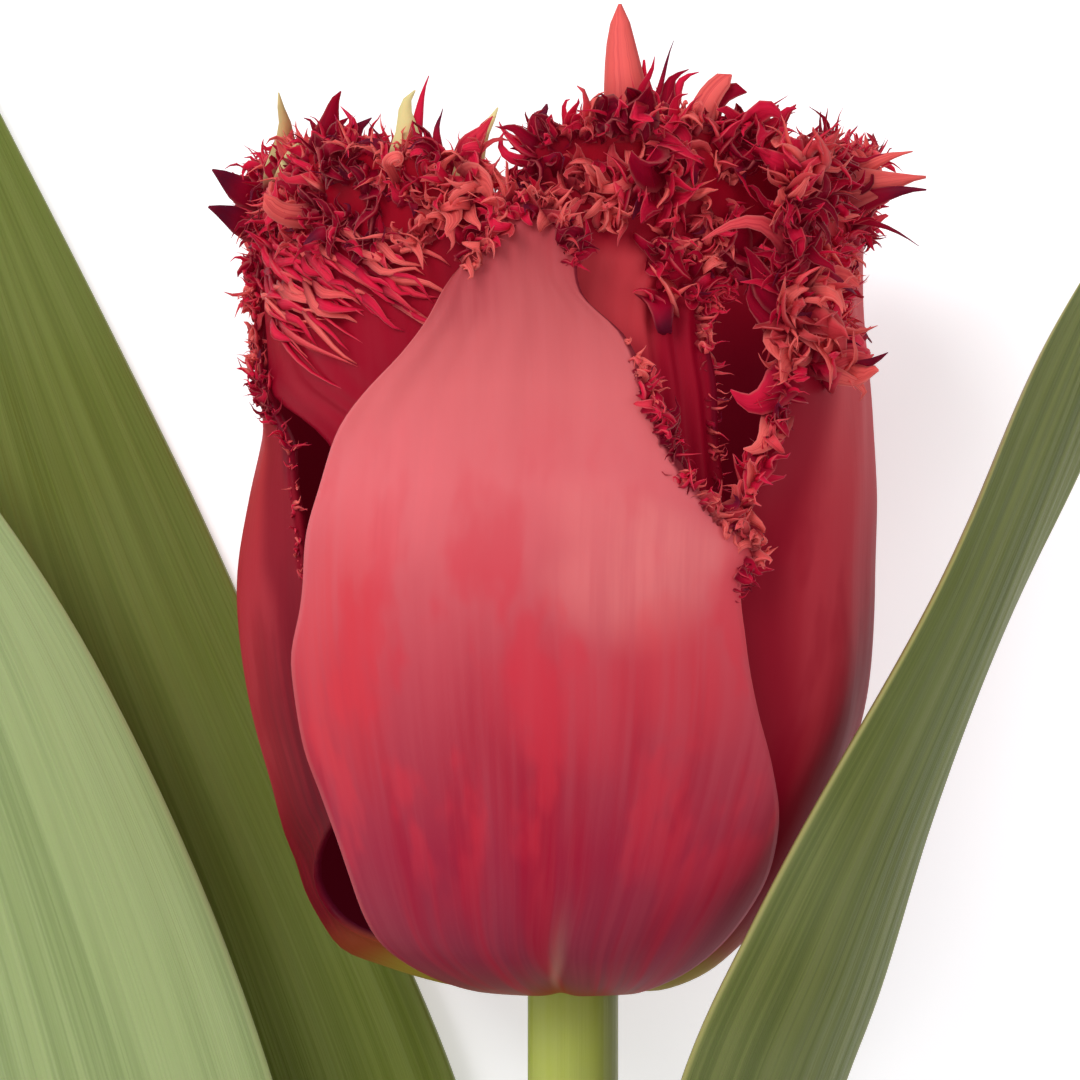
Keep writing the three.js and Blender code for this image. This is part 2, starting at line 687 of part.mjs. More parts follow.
// ---------------------------------------------------------------- leaves
// Each leaf clasps the stem a share of the way down and then follows its points, which are where
// its midrib runs. inner: the way its inner face looks, against the way along. width: half of it.
// gutter: half the angle that the blade's cross-section bends through, in degrees.
const LEAVES = [
  {
    name: "leaf_right",
    clasp: 0.3,
    points: [
      [5, -100, 22.6], [10.2, -70, 28], [16, -41.5, 33.3], [20.4, -30, 34.6], [25.2, -18, 33.6],
      [33.4, 0, 28], [41.5, 18, 16], [48.5, 35, 0.6],
    ],
    inner: [
      [0, -0.6, 0, -0.8], [0.3, -0.62, 0.2, -0.76], [0.5, -0.64, 0.3, -0.72],
      [0.7, -0.7, 0.35, -0.62], [0.86, -0.5, 0.1, -0.85], [1, -0.2, 0, -0.98],
    ],
    width: [
      [0, 7.2], [0.12, 8], [0.35, 9.4], [0.48, 9.2], [0.62, 7.2], [0.74, 5.8], [0.86, 4],
      [0.95, 2], [1, 0.8],
    ],
    gutter: [[0, 96], [0.12, 70], [0.3, 42], [0.6, 34], [1, 16]],
    wave: 0.5,
  },
  {
    name: "leaf_left",
    clasp: 0.42,
    points: [
      [-8, -118, 8.6], [-12, -92, 4.4], [-18, -62, 1.3], [-28, -30, 0.55], [-41.5, 4, 0.52],
      [-51.5, 34, 0.55], [-60, 62, 1.2],
    ],
    inner: [[0, 0.8, 0, 0.6], [0.2, 0.5, 0, 0.85], [0.4, 0.1, 0, 1], [1, 0.05, 0, 1]],
    width: [
      [0, 7.4], [0.12, 9.5], [0.3, 13.4], [0.5, 14.6], [0.62, 12.4], [0.75, 10.8], [0.93, 4.2],
      [1, 0.8],
    ],
    gutter: [[0, 96], [0.12, 74], [0.3, 38], [0.5, 27], [1, 14]],
    wave: 0.8,
  },
  {
    name: "leaf_low",
    clasp: 0.6,
    points: [
      [-10, -176, 15.5], [-16.5, -148, 16.2], [-23.6, -112, 15.4], [-30.8, -74, 13.6],
      [-39.5, -38, 12.4], [-53, 0, 10.6], [-67.5, 30, 4.6],
    ],
    inner: [
      [0, 0.86, 0, -0.5], [0.25, 0.72, 0, -0.7], [0.5, 0.5, 0, -0.86], [0.8, 0.42, 0, -0.9],
      [1, 0.1, 0, -1],
    ],
    width: [[0, 7.6], [0.12, 10], [0.35, 14.6], [0.6, 15.6], [0.82, 11.4], [0.95, 4.4], [1, 0.8]],
    gutter: [[0, 96], [0.12, 72], [0.3, 46], [0.6, 34], [1, 18]],
    wave: 0.7,
  },
];

function leaf(spec) {
  const { centre, radius } = stemAt(spec.clasp);
  const claspRadius = radius + CLASP_GAP + LEAF_THICKNESS / 2;
  const innerAt = (u) =>
    new THREE.Vector3(
      ...[1, 2, 3].map((axis) => through(spec.inner.map((row) => [row[0], row[axis]]), u)),
    ).normalize();
  const start = centre.clone().addScaledVector(innerAt(0), -claspRadius);
  const line = new THREE.CatmullRomCurve3(
    [start, ...spec.points.map((point) => new THREE.Vector3(...point))],
    false,
    "centripetal",
  );
  const point = (u, t, face) => {
    const along = u === 0 ? stemLine.getTangentAt(spec.clasp).negate() : line.getTangentAt(u);
    const inner = innerAt(u);
    inner.addScaledVector(along, -inner.dot(along)).normalize();
    const across = along.clone().cross(inner).negate();
    const bend = rad(through(spec.gutter, u));
    const half = u === 0 ? claspRadius * bend : through(spec.width, u);
    const round = half / bend;
    const thick = LEAF_THICKNESS * (1 - LEAF_THINNING * Math.abs(t));
    const reach = round + (0.5 - face) * thick;
    const wave = spec.wave * Math.sin(LEAF_WAVES * u + 1.3 * t) * t * t * smooth(0.3, 0.6, u);
    return line
      .getPointAt(u)
      .addScaledVector(across, reach * Math.sin(t * bend))
      .addScaledVector(inner, round - reach * Math.cos(t * bend) + wave);
  };
  const geometry = bladeGeometry(LEAF_ROWS, LEAF_COLUMNS, point);
  return namedMesh(spec.name, geometry, material(spec.name, 0.5));
}

// ---------------------------------------------------------------- the cut flower
const tulip = new THREE.Group();
tulip.add(flower, stem(), ...LEAVES.map(leaf));

export default tulip;
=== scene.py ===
# %% [markdown]
# # A fringed tulip, cut and laid on a table
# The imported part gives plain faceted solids: six petals, a pistil, six stamens, a stem and three
# leaves. This lesson dresses each of them with a finer piece of the same form. All pieces are in
# metres and in the part's own frame: +Y from the cut end to the flower, +Z up from the table.

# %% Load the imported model
import bisect
import math
import random

import bmesh
import bpy
from mathutils import Matrix, Vector


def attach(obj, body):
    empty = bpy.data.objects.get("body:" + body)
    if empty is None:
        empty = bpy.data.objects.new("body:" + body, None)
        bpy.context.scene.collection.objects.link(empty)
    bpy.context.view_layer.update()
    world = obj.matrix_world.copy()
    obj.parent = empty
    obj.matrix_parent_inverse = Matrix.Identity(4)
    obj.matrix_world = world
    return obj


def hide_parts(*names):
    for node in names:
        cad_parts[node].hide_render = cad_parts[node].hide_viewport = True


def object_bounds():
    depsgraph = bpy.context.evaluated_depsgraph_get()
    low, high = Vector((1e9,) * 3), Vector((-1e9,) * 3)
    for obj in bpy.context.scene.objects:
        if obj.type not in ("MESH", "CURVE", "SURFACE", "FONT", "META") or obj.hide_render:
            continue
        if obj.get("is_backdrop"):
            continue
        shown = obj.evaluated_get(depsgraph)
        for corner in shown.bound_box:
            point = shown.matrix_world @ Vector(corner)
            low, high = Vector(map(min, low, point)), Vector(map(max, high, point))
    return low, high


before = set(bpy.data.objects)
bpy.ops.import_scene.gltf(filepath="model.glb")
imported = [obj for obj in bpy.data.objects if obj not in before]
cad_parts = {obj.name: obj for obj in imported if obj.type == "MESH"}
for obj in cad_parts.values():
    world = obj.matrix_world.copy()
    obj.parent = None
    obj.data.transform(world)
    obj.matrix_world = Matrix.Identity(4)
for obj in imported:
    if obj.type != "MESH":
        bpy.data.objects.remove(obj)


def plain_box(box):
    """A box's two corners as lists of plain numbers."""
    return [[float(value) for value in corner] for corner in box]


solid_box = plain_box(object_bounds())
print("the solids reach from", solid_box[0], "to", solid_box[1])

# %% [markdown]
# ## Numbers along a petal
# A petal's edge, a leaf's width and a colour's strength all change smoothly along the way up. Two
# small helpers say how: a soft step between two places, and a smooth line through given points.
# The solids use the same two, so a finer piece lands on its solid.

# %% Soft steps and smooth lines
MM = 0.001


def smooth(low, high, x):
    """0 below low, 1 above high and a soft step between."""
    x = min(max((x - low) / (high - low), 0.0), 1.0)
    return x * x * (3 - 2 * x)


def mix(a, b, share):
    """The value a share of the way from a to b."""
    return a + (b - a) * share


def through(points, x):
    """A smooth line through points (place, value), flat beyond the first and the last."""
    last = len(points) - 1
    if x <= points[0][0]:
        return points[0][1]
    if x >= points[last][0]:
        return points[last][1]
    k = 0
    while x > points[k + 1][0]:
        k += 1

    def slope(i):
        a, b = points[max(i - 1, 0)], points[min(i + 1, last)]
        return (b[1] - a[1]) / (b[0] - a[0])

    span = points[k + 1][0] - points[k][0]
    t = (x - points[k][0]) / span
    return (
        (2 * t**3 - 3 * t**2 + 1) * points[k][1]
        + (t**3 - 2 * t**2 + t) * span * slope(k)
        + (3 * t**2 - 2 * t**3) * points[k + 1][1]
        + (t**3 - t**2) * span * slope(k + 1)
    )


def by_length(curve, steps=400):
    """A curve(0 to 1) walked evenly: returns place(share of its length), and the length."""
    spots = [curve(k / steps) for k in range(steps + 1)]
    run = [0.0]
    for a, b in zip(spots, spots[1:]):
        run.append(run[-1] + (b - a).length)

    def place(share):
        target = min(max(share, 0.0), 1.0) * run[-1]
        k = min(max(bisect.bisect_right(run, target) - 1, 0), steps - 1)
        return curve((k + (target - run[k]) / (run[k + 1] - run[k])) / steps)

    return place, run[-1]


# %% [markdown]
# ## The cup
# The closed cup is drawn once, as one outline from the joint with the stem to the crown. Every
# petal is a strip of that shape, so neighbours fit round each other. The outline is a spline
# through a few points, walked by its length, because a petal's length lies along it.

# %% The cup's outline
# Radius and height, in mm.
OUTLINE = [
    (4.3, 0.5), (7.4, 0.1), (11.0, 1.0), (14.2, 2.7), (17.0, 5.2), (19.8, 9.6), (22.4, 15.8),
    (24.5, 22.6), (25.4, 30.0), (25.4, 38.0), (24.8, 46.0), (24.5, 54.0), (24.7, 62.0),
    (25.2, 70.0), (25.8, 77.0),
]
# How far right of the axis the cup's middle lies, against the way along the outline, in mm.
SIDEWAYS = [
    (0, 0), (8, -1.4), (13, -2.1), (20, -1.6), (32, -1.15), (44, -1.25), (51, -0.9),
    (58, -0.75), (67, -1.2), (90, -1.1),
]
FLOWER_TILT = math.radians(4)
FLOWER_BASE_HEIGHT = 22.3  # mm from the table to the joint of petals and stem
BELLY_AT = 30  # mm up the flower's axis, where the cup rests on the table
TABLE_FROM = 0.2  # how squarely a place must face the table to be flattened by it, as a cosine


def outline_curve(t):
    """The outline as a Catmull-Rom spline, t from 0 to 1 over its points."""
    place = t * (len(OUTLINE) - 1)
    k = min(int(place), len(OUTLINE) - 2)
    w = place - k
    a, b, c, d = (Vector(OUTLINE[min(max(k + n, 0), len(OUTLINE) - 1)]) for n in (-1, 0, 1, 2))
    return (
        (2 * b - 2 * c + (c - a) * 0.5 + (d - b) * 0.5) * w**3
        + (-3 * b + 3 * c - (c - a) - (d - b) * 0.5) * w**2
        + (c - a) * 0.5 * w
        + b
    )


outline_at, OUTLINE_LENGTH = by_length(outline_curve)
STATIONS = 600
stations = [outline_at(k / STATIONS) for k in range(STATIONS + 1)]


def cup_at(way):
    """Radius, height and direction of the outline, a share of the way up it."""
    place = min(max(way, 0.0), 1.0) * STATIONS
    k = min(int(place), STATIONS - 1)
    spot = stations[k].lerp(stations[k + 1], place - k)
    before, after = stations[max(k - 1, 0)], stations[min(k + 2, STATIONS)]
    return spot.x, spot.y, (after - before).normalized()


tilt_sine, tilt_cosine = math.sin(FLOWER_TILT), math.cos(FLOWER_TILT)
axis_height = (FLOWER_BASE_HEIGHT + BELLY_AT * tilt_sine) / tilt_cosine
flower_joint = Vector((0, -(BELLY_AT * tilt_cosine + axis_height * tilt_sine), FLOWER_BASE_HEIGHT))
flower_place = Matrix.Translation(flower_joint) @ Matrix.Rotation(FLOWER_TILT, 4, "X")
flower_axis = Vector((0, tilt_cosine, tilt_sine))
print(f"the outline is {OUTLINE_LENGTH:.1f} mm long")

# %% [markdown]
# ## The six petals' shapes
# A tulip has two rings of three petals. Each is told by the azimuth of its two edges against the
# way up: 0 faces the sky, 90 right, 180 the table. Edges may tuck under a neighbour, roll outwards
# and wave. The tables are the solids' own, so each finer petal lies where its solid does.

# %% Petal tables
# Lengths are in mm. left and right give an edge's azimuth in degrees, and depth how far the petal
# lies inside the outline, all against the way up. tuck and roll have a value for each edge, and
# wave ripples a rolled one. groove is the depth of the furrow up the foot's middle, round the share
# by which the edges stop short of the tip, and ridges the height of folds that only the fine petal
# has.
INNER_DEPTH = 3.4
EDGE_TUCK = 1.8
EDGE_THINNING = 0.25  # share of its thickness that a petal loses at its edges
FURROW_WIDTH = 0.14  # as a share of half the petal
FREE_WIDTH = 70  # degrees across, under which a petal's tip rolls and waves less

outer_petal = dict(
    depth=[(0, 0), (1, 0)], thickness=0.9, tuck=(0, 0), roll=(0.5, 0.6), wave=0.3, groove=0,
    round=0.04, ridges=0,
)
inner_petal = dict(outer_petal, thickness=0.8, roll=(0, 0), round=0.02)
PETALS = {
    "petal_outer_front": dict(
        outer_petal, length=73, roll=(0.5, 1.5), wave=0.25, groove=0.9, round=0.05, seed=11,
        left=[
            (0, -50), (0.1, -51), (0.2, -53), (0.3, -53), (0.36, -54.5), (0.42, -56.5),
            (0.51, -55.5), (0.57, -52), (0.68, -48.5), (0.73, -46.5), (0.77, -43), (0.82, -36),
            (0.86, -29.5), (0.9, -24), (0.95, -19.5), (1, -14),
        ],
        right=[
            (0, 38), (0.08, 46), (0.16, 58), (0.25, 59), (0.33, 53.5), (0.4, 45), (0.46, 38.5),
            (0.54, 34.5), (0.6, 33), (0.635, 36.5), (0.66, 32), (0.69, 25), (0.72, 21),
            (0.76, 17.5), (0.83, 13.5), (0.88, 10.5), (0.93, 4), (1, 3),
        ],
    ),
    "petal_outer_right": dict(
        outer_petal, length=77.5, tuck=(EDGE_TUCK, 0), roll=(1.2, 0.6), groove=0.7, seed=23,
        depth=[(0, 0), (1, 0.2)], round=0.02,
        left=[
            (0, 42), (0.08, 50), (0.15, 51), (0.24, 47), (0.34, 42), (0.44, 34.5), (0.52, 30),
            (0.58, 29.5), (0.64, 32.5), (0.7, 37.5), (0.76, 42), (0.85, 43), (0.93, 41), (1, 43),
        ],
        right=[(0, 148), (0.3, 150), (0.6, 150), (0.8, 144), (1, 126)],
    ),
    "petal_outer_left": dict(
        outer_petal, length=76, tuck=(0, EDGE_TUCK), seed=37,
        depth=[
            (0, 0), (0.08, 0), (0.125, -0.3), (0.16, -1), (0.2, -1.6), (0.24, -1.7), (0.28, -0.9),
            (0.33, -0.2), (0.38, 0), (0.58, 0), (0.66, 0.5), (0.74, 1), (1, 0.8),
        ],
        left=[(0, -208), (0.3, -206), (0.6, -206), (0.8, -196), (1, -168)],
        right=[
            (0, -55), (0.1, -56), (0.155, -62), (0.19, -76), (0.22, -80), (0.26, -77), (0.3, -64),
            (0.33, -54), (0.38, -50.5), (0.54, -50.5), (0.59, -55.5), (0.66, -57), (0.72, -61),
            (0.76, -72), (0.84, -94), (0.92, -98), (1, -114),
        ],
    ),
    "petal_inner_left": dict(
        inner_petal, length=77, roll=(0.5, 0), seed=44,
        depth=[(0, INNER_DEPTH), (0.6, INNER_DEPTH), (0.8, 1.95), (1, 1.6)],
        left=[
            (0, -92), (0.2, -92), (0.34, -80), (0.44, -56), (0.58, -49), (0.68, -50),
            (0.73, -60), (0.78, -88), (0.86, -97), (0.93, -97), (1, -84),
        ],
        right=[(0, -36), (0.3, -24), (0.5, -14), (0.8, -15), (1, -15)],
    ),
    "petal_inner_right": dict(
        inner_petal, length=78.5, seed=59, ridges=0.22,
        depth=[(0, INNER_DEPTH), (0.6, INNER_DEPTH), (0.8, 2.6), (1, 2.4)],
        left=[(0, 24), (0.3, 14), (0.5, -4), (0.8, -8), (1, -5)],
        right=[
            (0, 84), (0.2, 80), (0.34, 66), (0.46, 42), (0.56, 35), (0.66, 33.5), (0.74, 31.5),
            (0.83, 31), (0.88, 40), (0.93, 50), (1, 51),
        ],
    ),
    "petal_inner_back": dict(
        inner_petal, length=77, round=0.03, seed=67,
        depth=[(0, INNER_DEPTH), (0.6, INNER_DEPTH), (1, 2.6)],
        left=[(0, 136), (0.3, 128), (0.6, 122), (0.85, 126), (1, 142)],
        right=[(0, 196), (0.3, 208), (0.6, 220), (0.85, 218), (1, 200)],
    ),
}


def petal_edges(petal, up):
    """Azimuths of a petal's two edges, in degrees."""
    return through(petal["left"], up), through(petal["right"], up)


def azimuth_of(petal, up, across):
    left, right = petal_edges(petal, up)
    return (left + right) / 2 + across * (right - left) / 2


def petal_run(petal, up, across):
    """Length along the outline of a place on a petal: its edges stop a little short of its tip."""
    return petal["length"] * up * (1 - petal["round"] * across**2 * up**4)


def petal_point(petal, up, across, depth):
    """A place in a petal, in the flower's frame: depth is counted inwards from its outer face."""
    side = abs(across)
    run = petal_run(petal, up, across)
    radius, height, tangent = cup_at(run / OUTLINE_LENGTH)
    left, right = petal_edges(petal, up)
    azimuth = math.radians((left + right) / 2 + across * (right - left) / 2)
    down = -math.cos(azimuth)
    on_table = math.inf
    if down > TABLE_FROM:
        on_table = (FLOWER_BASE_HEIGHT + height * tilt_sine) / (tilt_cosine * down)
    hand = 0 if across < 0 else 1
    tuck, roll = petal["tuck"][hand], petal["roll"][hand]
    # an edge tucks in low down and rolls out near the crown; the furrow is only in the foot
    edge = smooth(0.5, 1, side)
    tucked = edge * smooth(0, 0.12, up) * (1 - smooth(0.54, 0.7, up))
    rolled = edge * smooth(0.55, 0.9, up) * min((right - left) / FREE_WIDTH, 1)
    wave = petal["wave"] * (1 + math.sin(14 * up + 3 * across + petal["seed"])) if roll else 0
    furrow = math.exp(-((side / FURROW_WIDTH) ** 2)) * smooth(0, 0.1, up)
    furrow *= 1 - smooth(0.1, 0.34, up)
    inwards = depth + through(petal["depth"], up) + tuck * tucked + petal["groove"] * furrow
    inwards -= (roll + wave) * rolled
    radius = min(min(radius, on_table) - inwards * tangent.y, on_table - depth)
    return Vector((
        radius * math.sin(azimuth) + through(SIDEWAYS, run),
        height + inwards * tangent.x,
        radius * math.cos(azimuth),
    ))


def petal_thickness(petal, up, across):
    near_edge = max(smooth(0.6, 1, abs(across)), smooth(0.8, 1, up))
    return petal["thickness"] * (1 - EDGE_THINNING * near_edge)


for name, petal in PETALS.items():
    tip = flower_place @ petal_point(petal, 1, 0, 0)
    print(f"{name}: tip at {tip.x:.1f}, {tip.y:.1f}, {tip.z:.1f} mm")

# %% [markdown]
# ## From a flat grid to a petal
# A petal is thin, curved both ways and closed all round. It could be sculpted, but a grid that is
# extruded once is already a closed sheet with two faces, and then only its corners have to be
# placed. Each corner keeps attributes for the materials. grown says where it grew: how far across
# the petal or tooth, how far up the petal, and how far out along a tooth. inside is 1 on the inner
# face. vein counts streaks: by azimuth on a petal, so that they are as wide on a narrow petal as on
# a broad one, and by tooth on the fringe. chance is a tooth's place in the fringe's colours.

# %% Blades
VEIN_DEGREES = 50


def new_skin():
    """An empty mesh with the four attributes."""
    bm = bmesh.new()
    bm.verts.layers.float_vector.new("grown")
    for title in ("inside", "chance", "vein"):
        bm.verts.layers.float.new(title)
    return bm


def blade(rows, columns, point, thickness):
    """A closed sheet: point(up, across, depth) places it, thickness(up, across) gives its wall."""
    bm = new_skin()
    grown = bm.verts.layers.float_vector["grown"]
    inside = bm.verts.layers.float["inside"]
    vein = bm.verts.layers.float["vein"]
    bmesh.ops.create_grid(bm, x_segments=columns, y_segments=rows, size=1)
    for vert in bm.verts:
        vert[grown] = (vert.co.x, (vert.co.y + 1) / 2, 0)
        vert[vein] = vert.co.x
    sheet = bmesh.ops.extrude_face_region(bm, geom=bm.faces[:])
    for vert in (part for part in sheet["geom"] if isinstance(part, bmesh.types.BMVert)):
        vert[inside] = 1
    for vert in bm.verts:
        across, up, _ = vert[grown]
        vert.co = point(up, across, vert[inside] * thickness(up, across))
    bmesh.ops.recalc_face_normals(bm, faces=bm.faces[:])
    return bm


PETAL_ROWS, PETAL_COLUMNS = 84, 56


def petal_blade(petal):
    """A petal's blade, with the faint folds and edge crinkles that its solid leaves out."""
    phase = petal["seed"]

    def fine(up, across, depth):
        folds = 0.10 * math.sin(9 * across + phase) + 0.06 * math.sin(23 * across + 2 * phase)
        crinkle = 0.22 * math.sin(46 * up + 5 * across + phase) * smooth(0.82, 1, abs(across))
        relief = folds * smooth(0.05, 0.3, up) + crinkle * smooth(0.35, 0.7, up)
        ridge = math.sin(26 * across + 5 * up) * smooth(0.05, 0.35, across) * smooth(0.5, 0.66, up)
        relief += petal["ridges"] * ridge * (1 - smooth(0.88, 0.94, up))
        return petal_point(petal, up, across, depth + relief)

    def wall(up, across):
        return petal_thickness(petal, up, across)

    bm = blade(PETAL_ROWS, PETAL_COLUMNS, fine, wall)
    grown, vein = bm.verts.layers.float_vector["grown"], bm.verts.layers.float["vein"]
    for vert in bm.verts:
        across, up, _ = vert[grown]
        vert[vein] = azimuth_of(petal, up, across) / VEIN_DEGREES
    return bm


# %% [markdown]
# ## One tooth of fringe
# The fringe is soft, narrow, tapering shreds, some flat and folded, some rolled up. Hundreds are
# needed, so each has few faces: a tube with five sides is cut into rings once, and every tooth is
# a copy of that pattern whose rings are set along a bent line, turned, folded and tapered. A tooth
# whose end is rolled up needs more rings, so it gets a pattern of its own.

# %% The tooth's pattern
TOOTH_SIDES, TOOTH_CUTS = 5, 6
COIL_SIDES, COIL_CUTS = 8, 26


def tube_pattern(sides, rings):
    """A unit tube up the Z axis, cut into rings, as a mesh to copy from."""
    bm = bmesh.new()
    bmesh.ops.create_cone(
        bm, cap_ends=True, segments=sides, radius1=1, radius2=1, depth=1,
        matrix=Matrix.Translation((0, 0, 0.5)),
    )
    uprights = [e for e in bm.edges if abs(e.verts[0].co.z - e.verts[1].co.z) > 0.5]
    bmesh.ops.subdivide_edges(bm, edges=uprights, cuts=rings)
    mesh = bpy.data.meshes.new("pattern")
    bm.to_mesh(mesh)
    bm.free()
    return mesh


def tooth_pattern(sides, cuts):
    """A tube to copy, its corners and the places of its rings."""
    mesh = tube_pattern(sides, cuts)
    mesh.flip_normals()  # a tooth is laid out mirrored, which turns its faces outwards again
    corners = [(x, y, round(z, 3)) for x, y, z in (vert.co for vert in mesh.vertices)]
    print("a pattern has", len(mesh.polygons), "faces")
    return mesh, corners, sorted({z for _, _, z in corners})


plain_pattern = tooth_pattern(TOOTH_SIDES, TOOTH_CUTS)
coil_pattern = tooth_pattern(COIL_SIDES, COIL_CUTS)


# %% Bending a tooth
LINE_STEP = 0.04  # along a tooth's line, to find its direction
BLUNT_TIP = 0.06  # the share of its width that a tooth keeps at its tip
ROOT_OUT = 0.05  # how far out a tooth's root counts: more than 0, the petal's own


def arc_line(root, way, bend, length, curl):
    """A line that starts along way and curls towards bend."""

    def line(s):
        angle = max(curl * s, 1e-4)
        reach = length * s / angle
        return root + way * (reach * math.sin(angle)) + bend * (reach * (1 - math.cos(angle)))

    return line


def tooth_rings(tooth, places):
    """For each ring of a tooth: its middle, and its half width in its two directions.

    off is where its flat side looks, before it is turned by turn at the root and by twist on the
    way to the tip.
    """
    line, off, rings = tooth["line"], tooth["off"], {}
    for s in places:
        before = s - LINE_STEP if s > LINE_STEP else s
        along = (line(s + LINE_STEP) - line(before)).normalized()
        side = along.cross(off)
        side = side.normalized() if side.length > 1e-3 else along.orthogonal().normalized()
        face = side.cross(along)
        turn = tooth["turn"] + tooth["twist"] * s
        wide = side * math.cos(turn) + face * math.sin(turn)
        thin = face * math.cos(turn) - side * math.sin(turn)
        belly = 1 + tooth["belly"] * math.sin(math.pi * min(s * 1.3, 1))
        taper = tooth["width"] * max((1 - s) ** tooth["point"], BLUNT_TIP) * belly
        sway = tooth["crinkle"] * s * math.sin(7 * s + 5 * tooth["twist"])
        rings[s] = (line(s) + wide * sway, wide * taper, thin * taper)
    return rings


def add_teeth(bm, teeth, pattern):
    """Adds a bent, tapered copy of the pattern for each tooth, in the flower's frame."""
    mesh, corners, places = pattern
    grown = bm.verts.layers.float_vector["grown"]
    chance, vein = bm.verts.layers.float["chance"], bm.verts.layers.float["vein"]
    start = len(bm.verts)
    for _ in teeth:
        bm.from_mesh(mesh)
    bm.verts.ensure_lookup_table()
    size = len(corners)
    for number, tooth in enumerate(teeth):
        rings = tooth_rings(tooth, places)
        first = start + number * size
        for vert, (x, y, s) in zip(bm.verts[first : first + size], corners):
            middle, wide, thin = rings[s]
            vert.co = middle + wide * x + thin * (y * tooth["flatness"] + tooth["fold"] * x * x)
            vert[grown] = (x, tooth["up"], mix(ROOT_OUT, 1, s))
            vert[vein] = x + number
            vert[chance] = tooth["chance"]


# %% [markdown]
# ## Where the fringe grows
# It grows from the free edges and, near the crown, from the face too, in rows. Real shreds part in
# every direction, so each tooth gets its own lean, curl and length from a seeded random source,
# which gives the same flower each time. Where another petal covers the place, no tuft grows.

# %% Frames on a petal
ACROSS_STEP, UP_STEP = 0.05, 0.02  # how far to look for the directions at a place


def middle_of(petal, up, across):
    """A place halfway through a petal's wall."""
    return petal_point(petal, up, across, petal_thickness(petal, up, across) / 2)


def frame_on(petal, up, across):
    """Point in the blade, and the directions along it, across it and off its outer face."""
    low = min(up, 1 - UP_STEP)
    side = middle_of(petal, low, min(across + ACROSS_STEP, 1))
    side -= middle_of(petal, low, max(across - ACROSS_STEP, -1))
    along = middle_of(petal, low + UP_STEP, across) - middle_of(petal, low - UP_STEP, across)
    off = side.cross(along).normalized()
    along.normalize()
    return middle_of(petal, up, across), along, along.cross(off), off


COVERED_BY = {
    "petal_outer_right": ["petal_outer_front"],
    "petal_outer_left": ["petal_outer_front"],
    "petal_inner_left": ["petal_outer_front", "petal_outer_left"],
    "petal_inner_right": ["petal_outer_front", "petal_outer_right"],
    "petal_inner_back": ["petal_outer_left", "petal_outer_right"],
}


def is_covered(name, up, across, margin=2.0):
    """Whether a petal further out lies over this place, or within so many degrees of it."""
    petal = PETALS[name]
    run, here = petal_run(petal, up, across), azimuth_of(petal, up, across)
    for other_name in COVERED_BY.get(name, []):
        other = PETALS[other_name]
        other_up = run / other["length"]
        if other_up > 1:
            continue
        left, right = petal_edges(other, other_up)
        if any(left - margin < here + turn < right + margin for turn in (-360, 0, 360)):
            return True
    return False


# %% Edges to walk along
def free_edge(petal, from_left, from_right, steps=90):
    """Places round a petal's free edge, from its left side over the tip to its right side."""
    places = [(mix(from_left, 1, k / steps), -1) for k in range(steps)]
    places += [(1, 2 * k / steps - 1) for k in range(steps + 1)]
    places += [(mix(1, from_right, k / steps), 1) for k in range(1, steps + 1)]
    return places


def walk(petal, places, spacing, rng):
    """Every so many mm along some places: up, across, the point, the ways on, off and out."""
    spots = [middle_of(petal, up, across) for up, across in places]
    walked, following = 0.0, spacing * rng.random()
    for k in range(1, len(places)):
        walked += (spots[k] - spots[k - 1]).length
        if walked < following:
            continue
        following += spacing * (0.7 + 0.6 * rng.random())
        run = (spots[min(k + 2, len(spots) - 1)] - spots[max(k - 2, 0)]).normalized()
        up, across = places[k]
        point, _, _, off = frame_on(petal, up, across)
        yield up, across, point, run, off, off.cross(run).normalized()


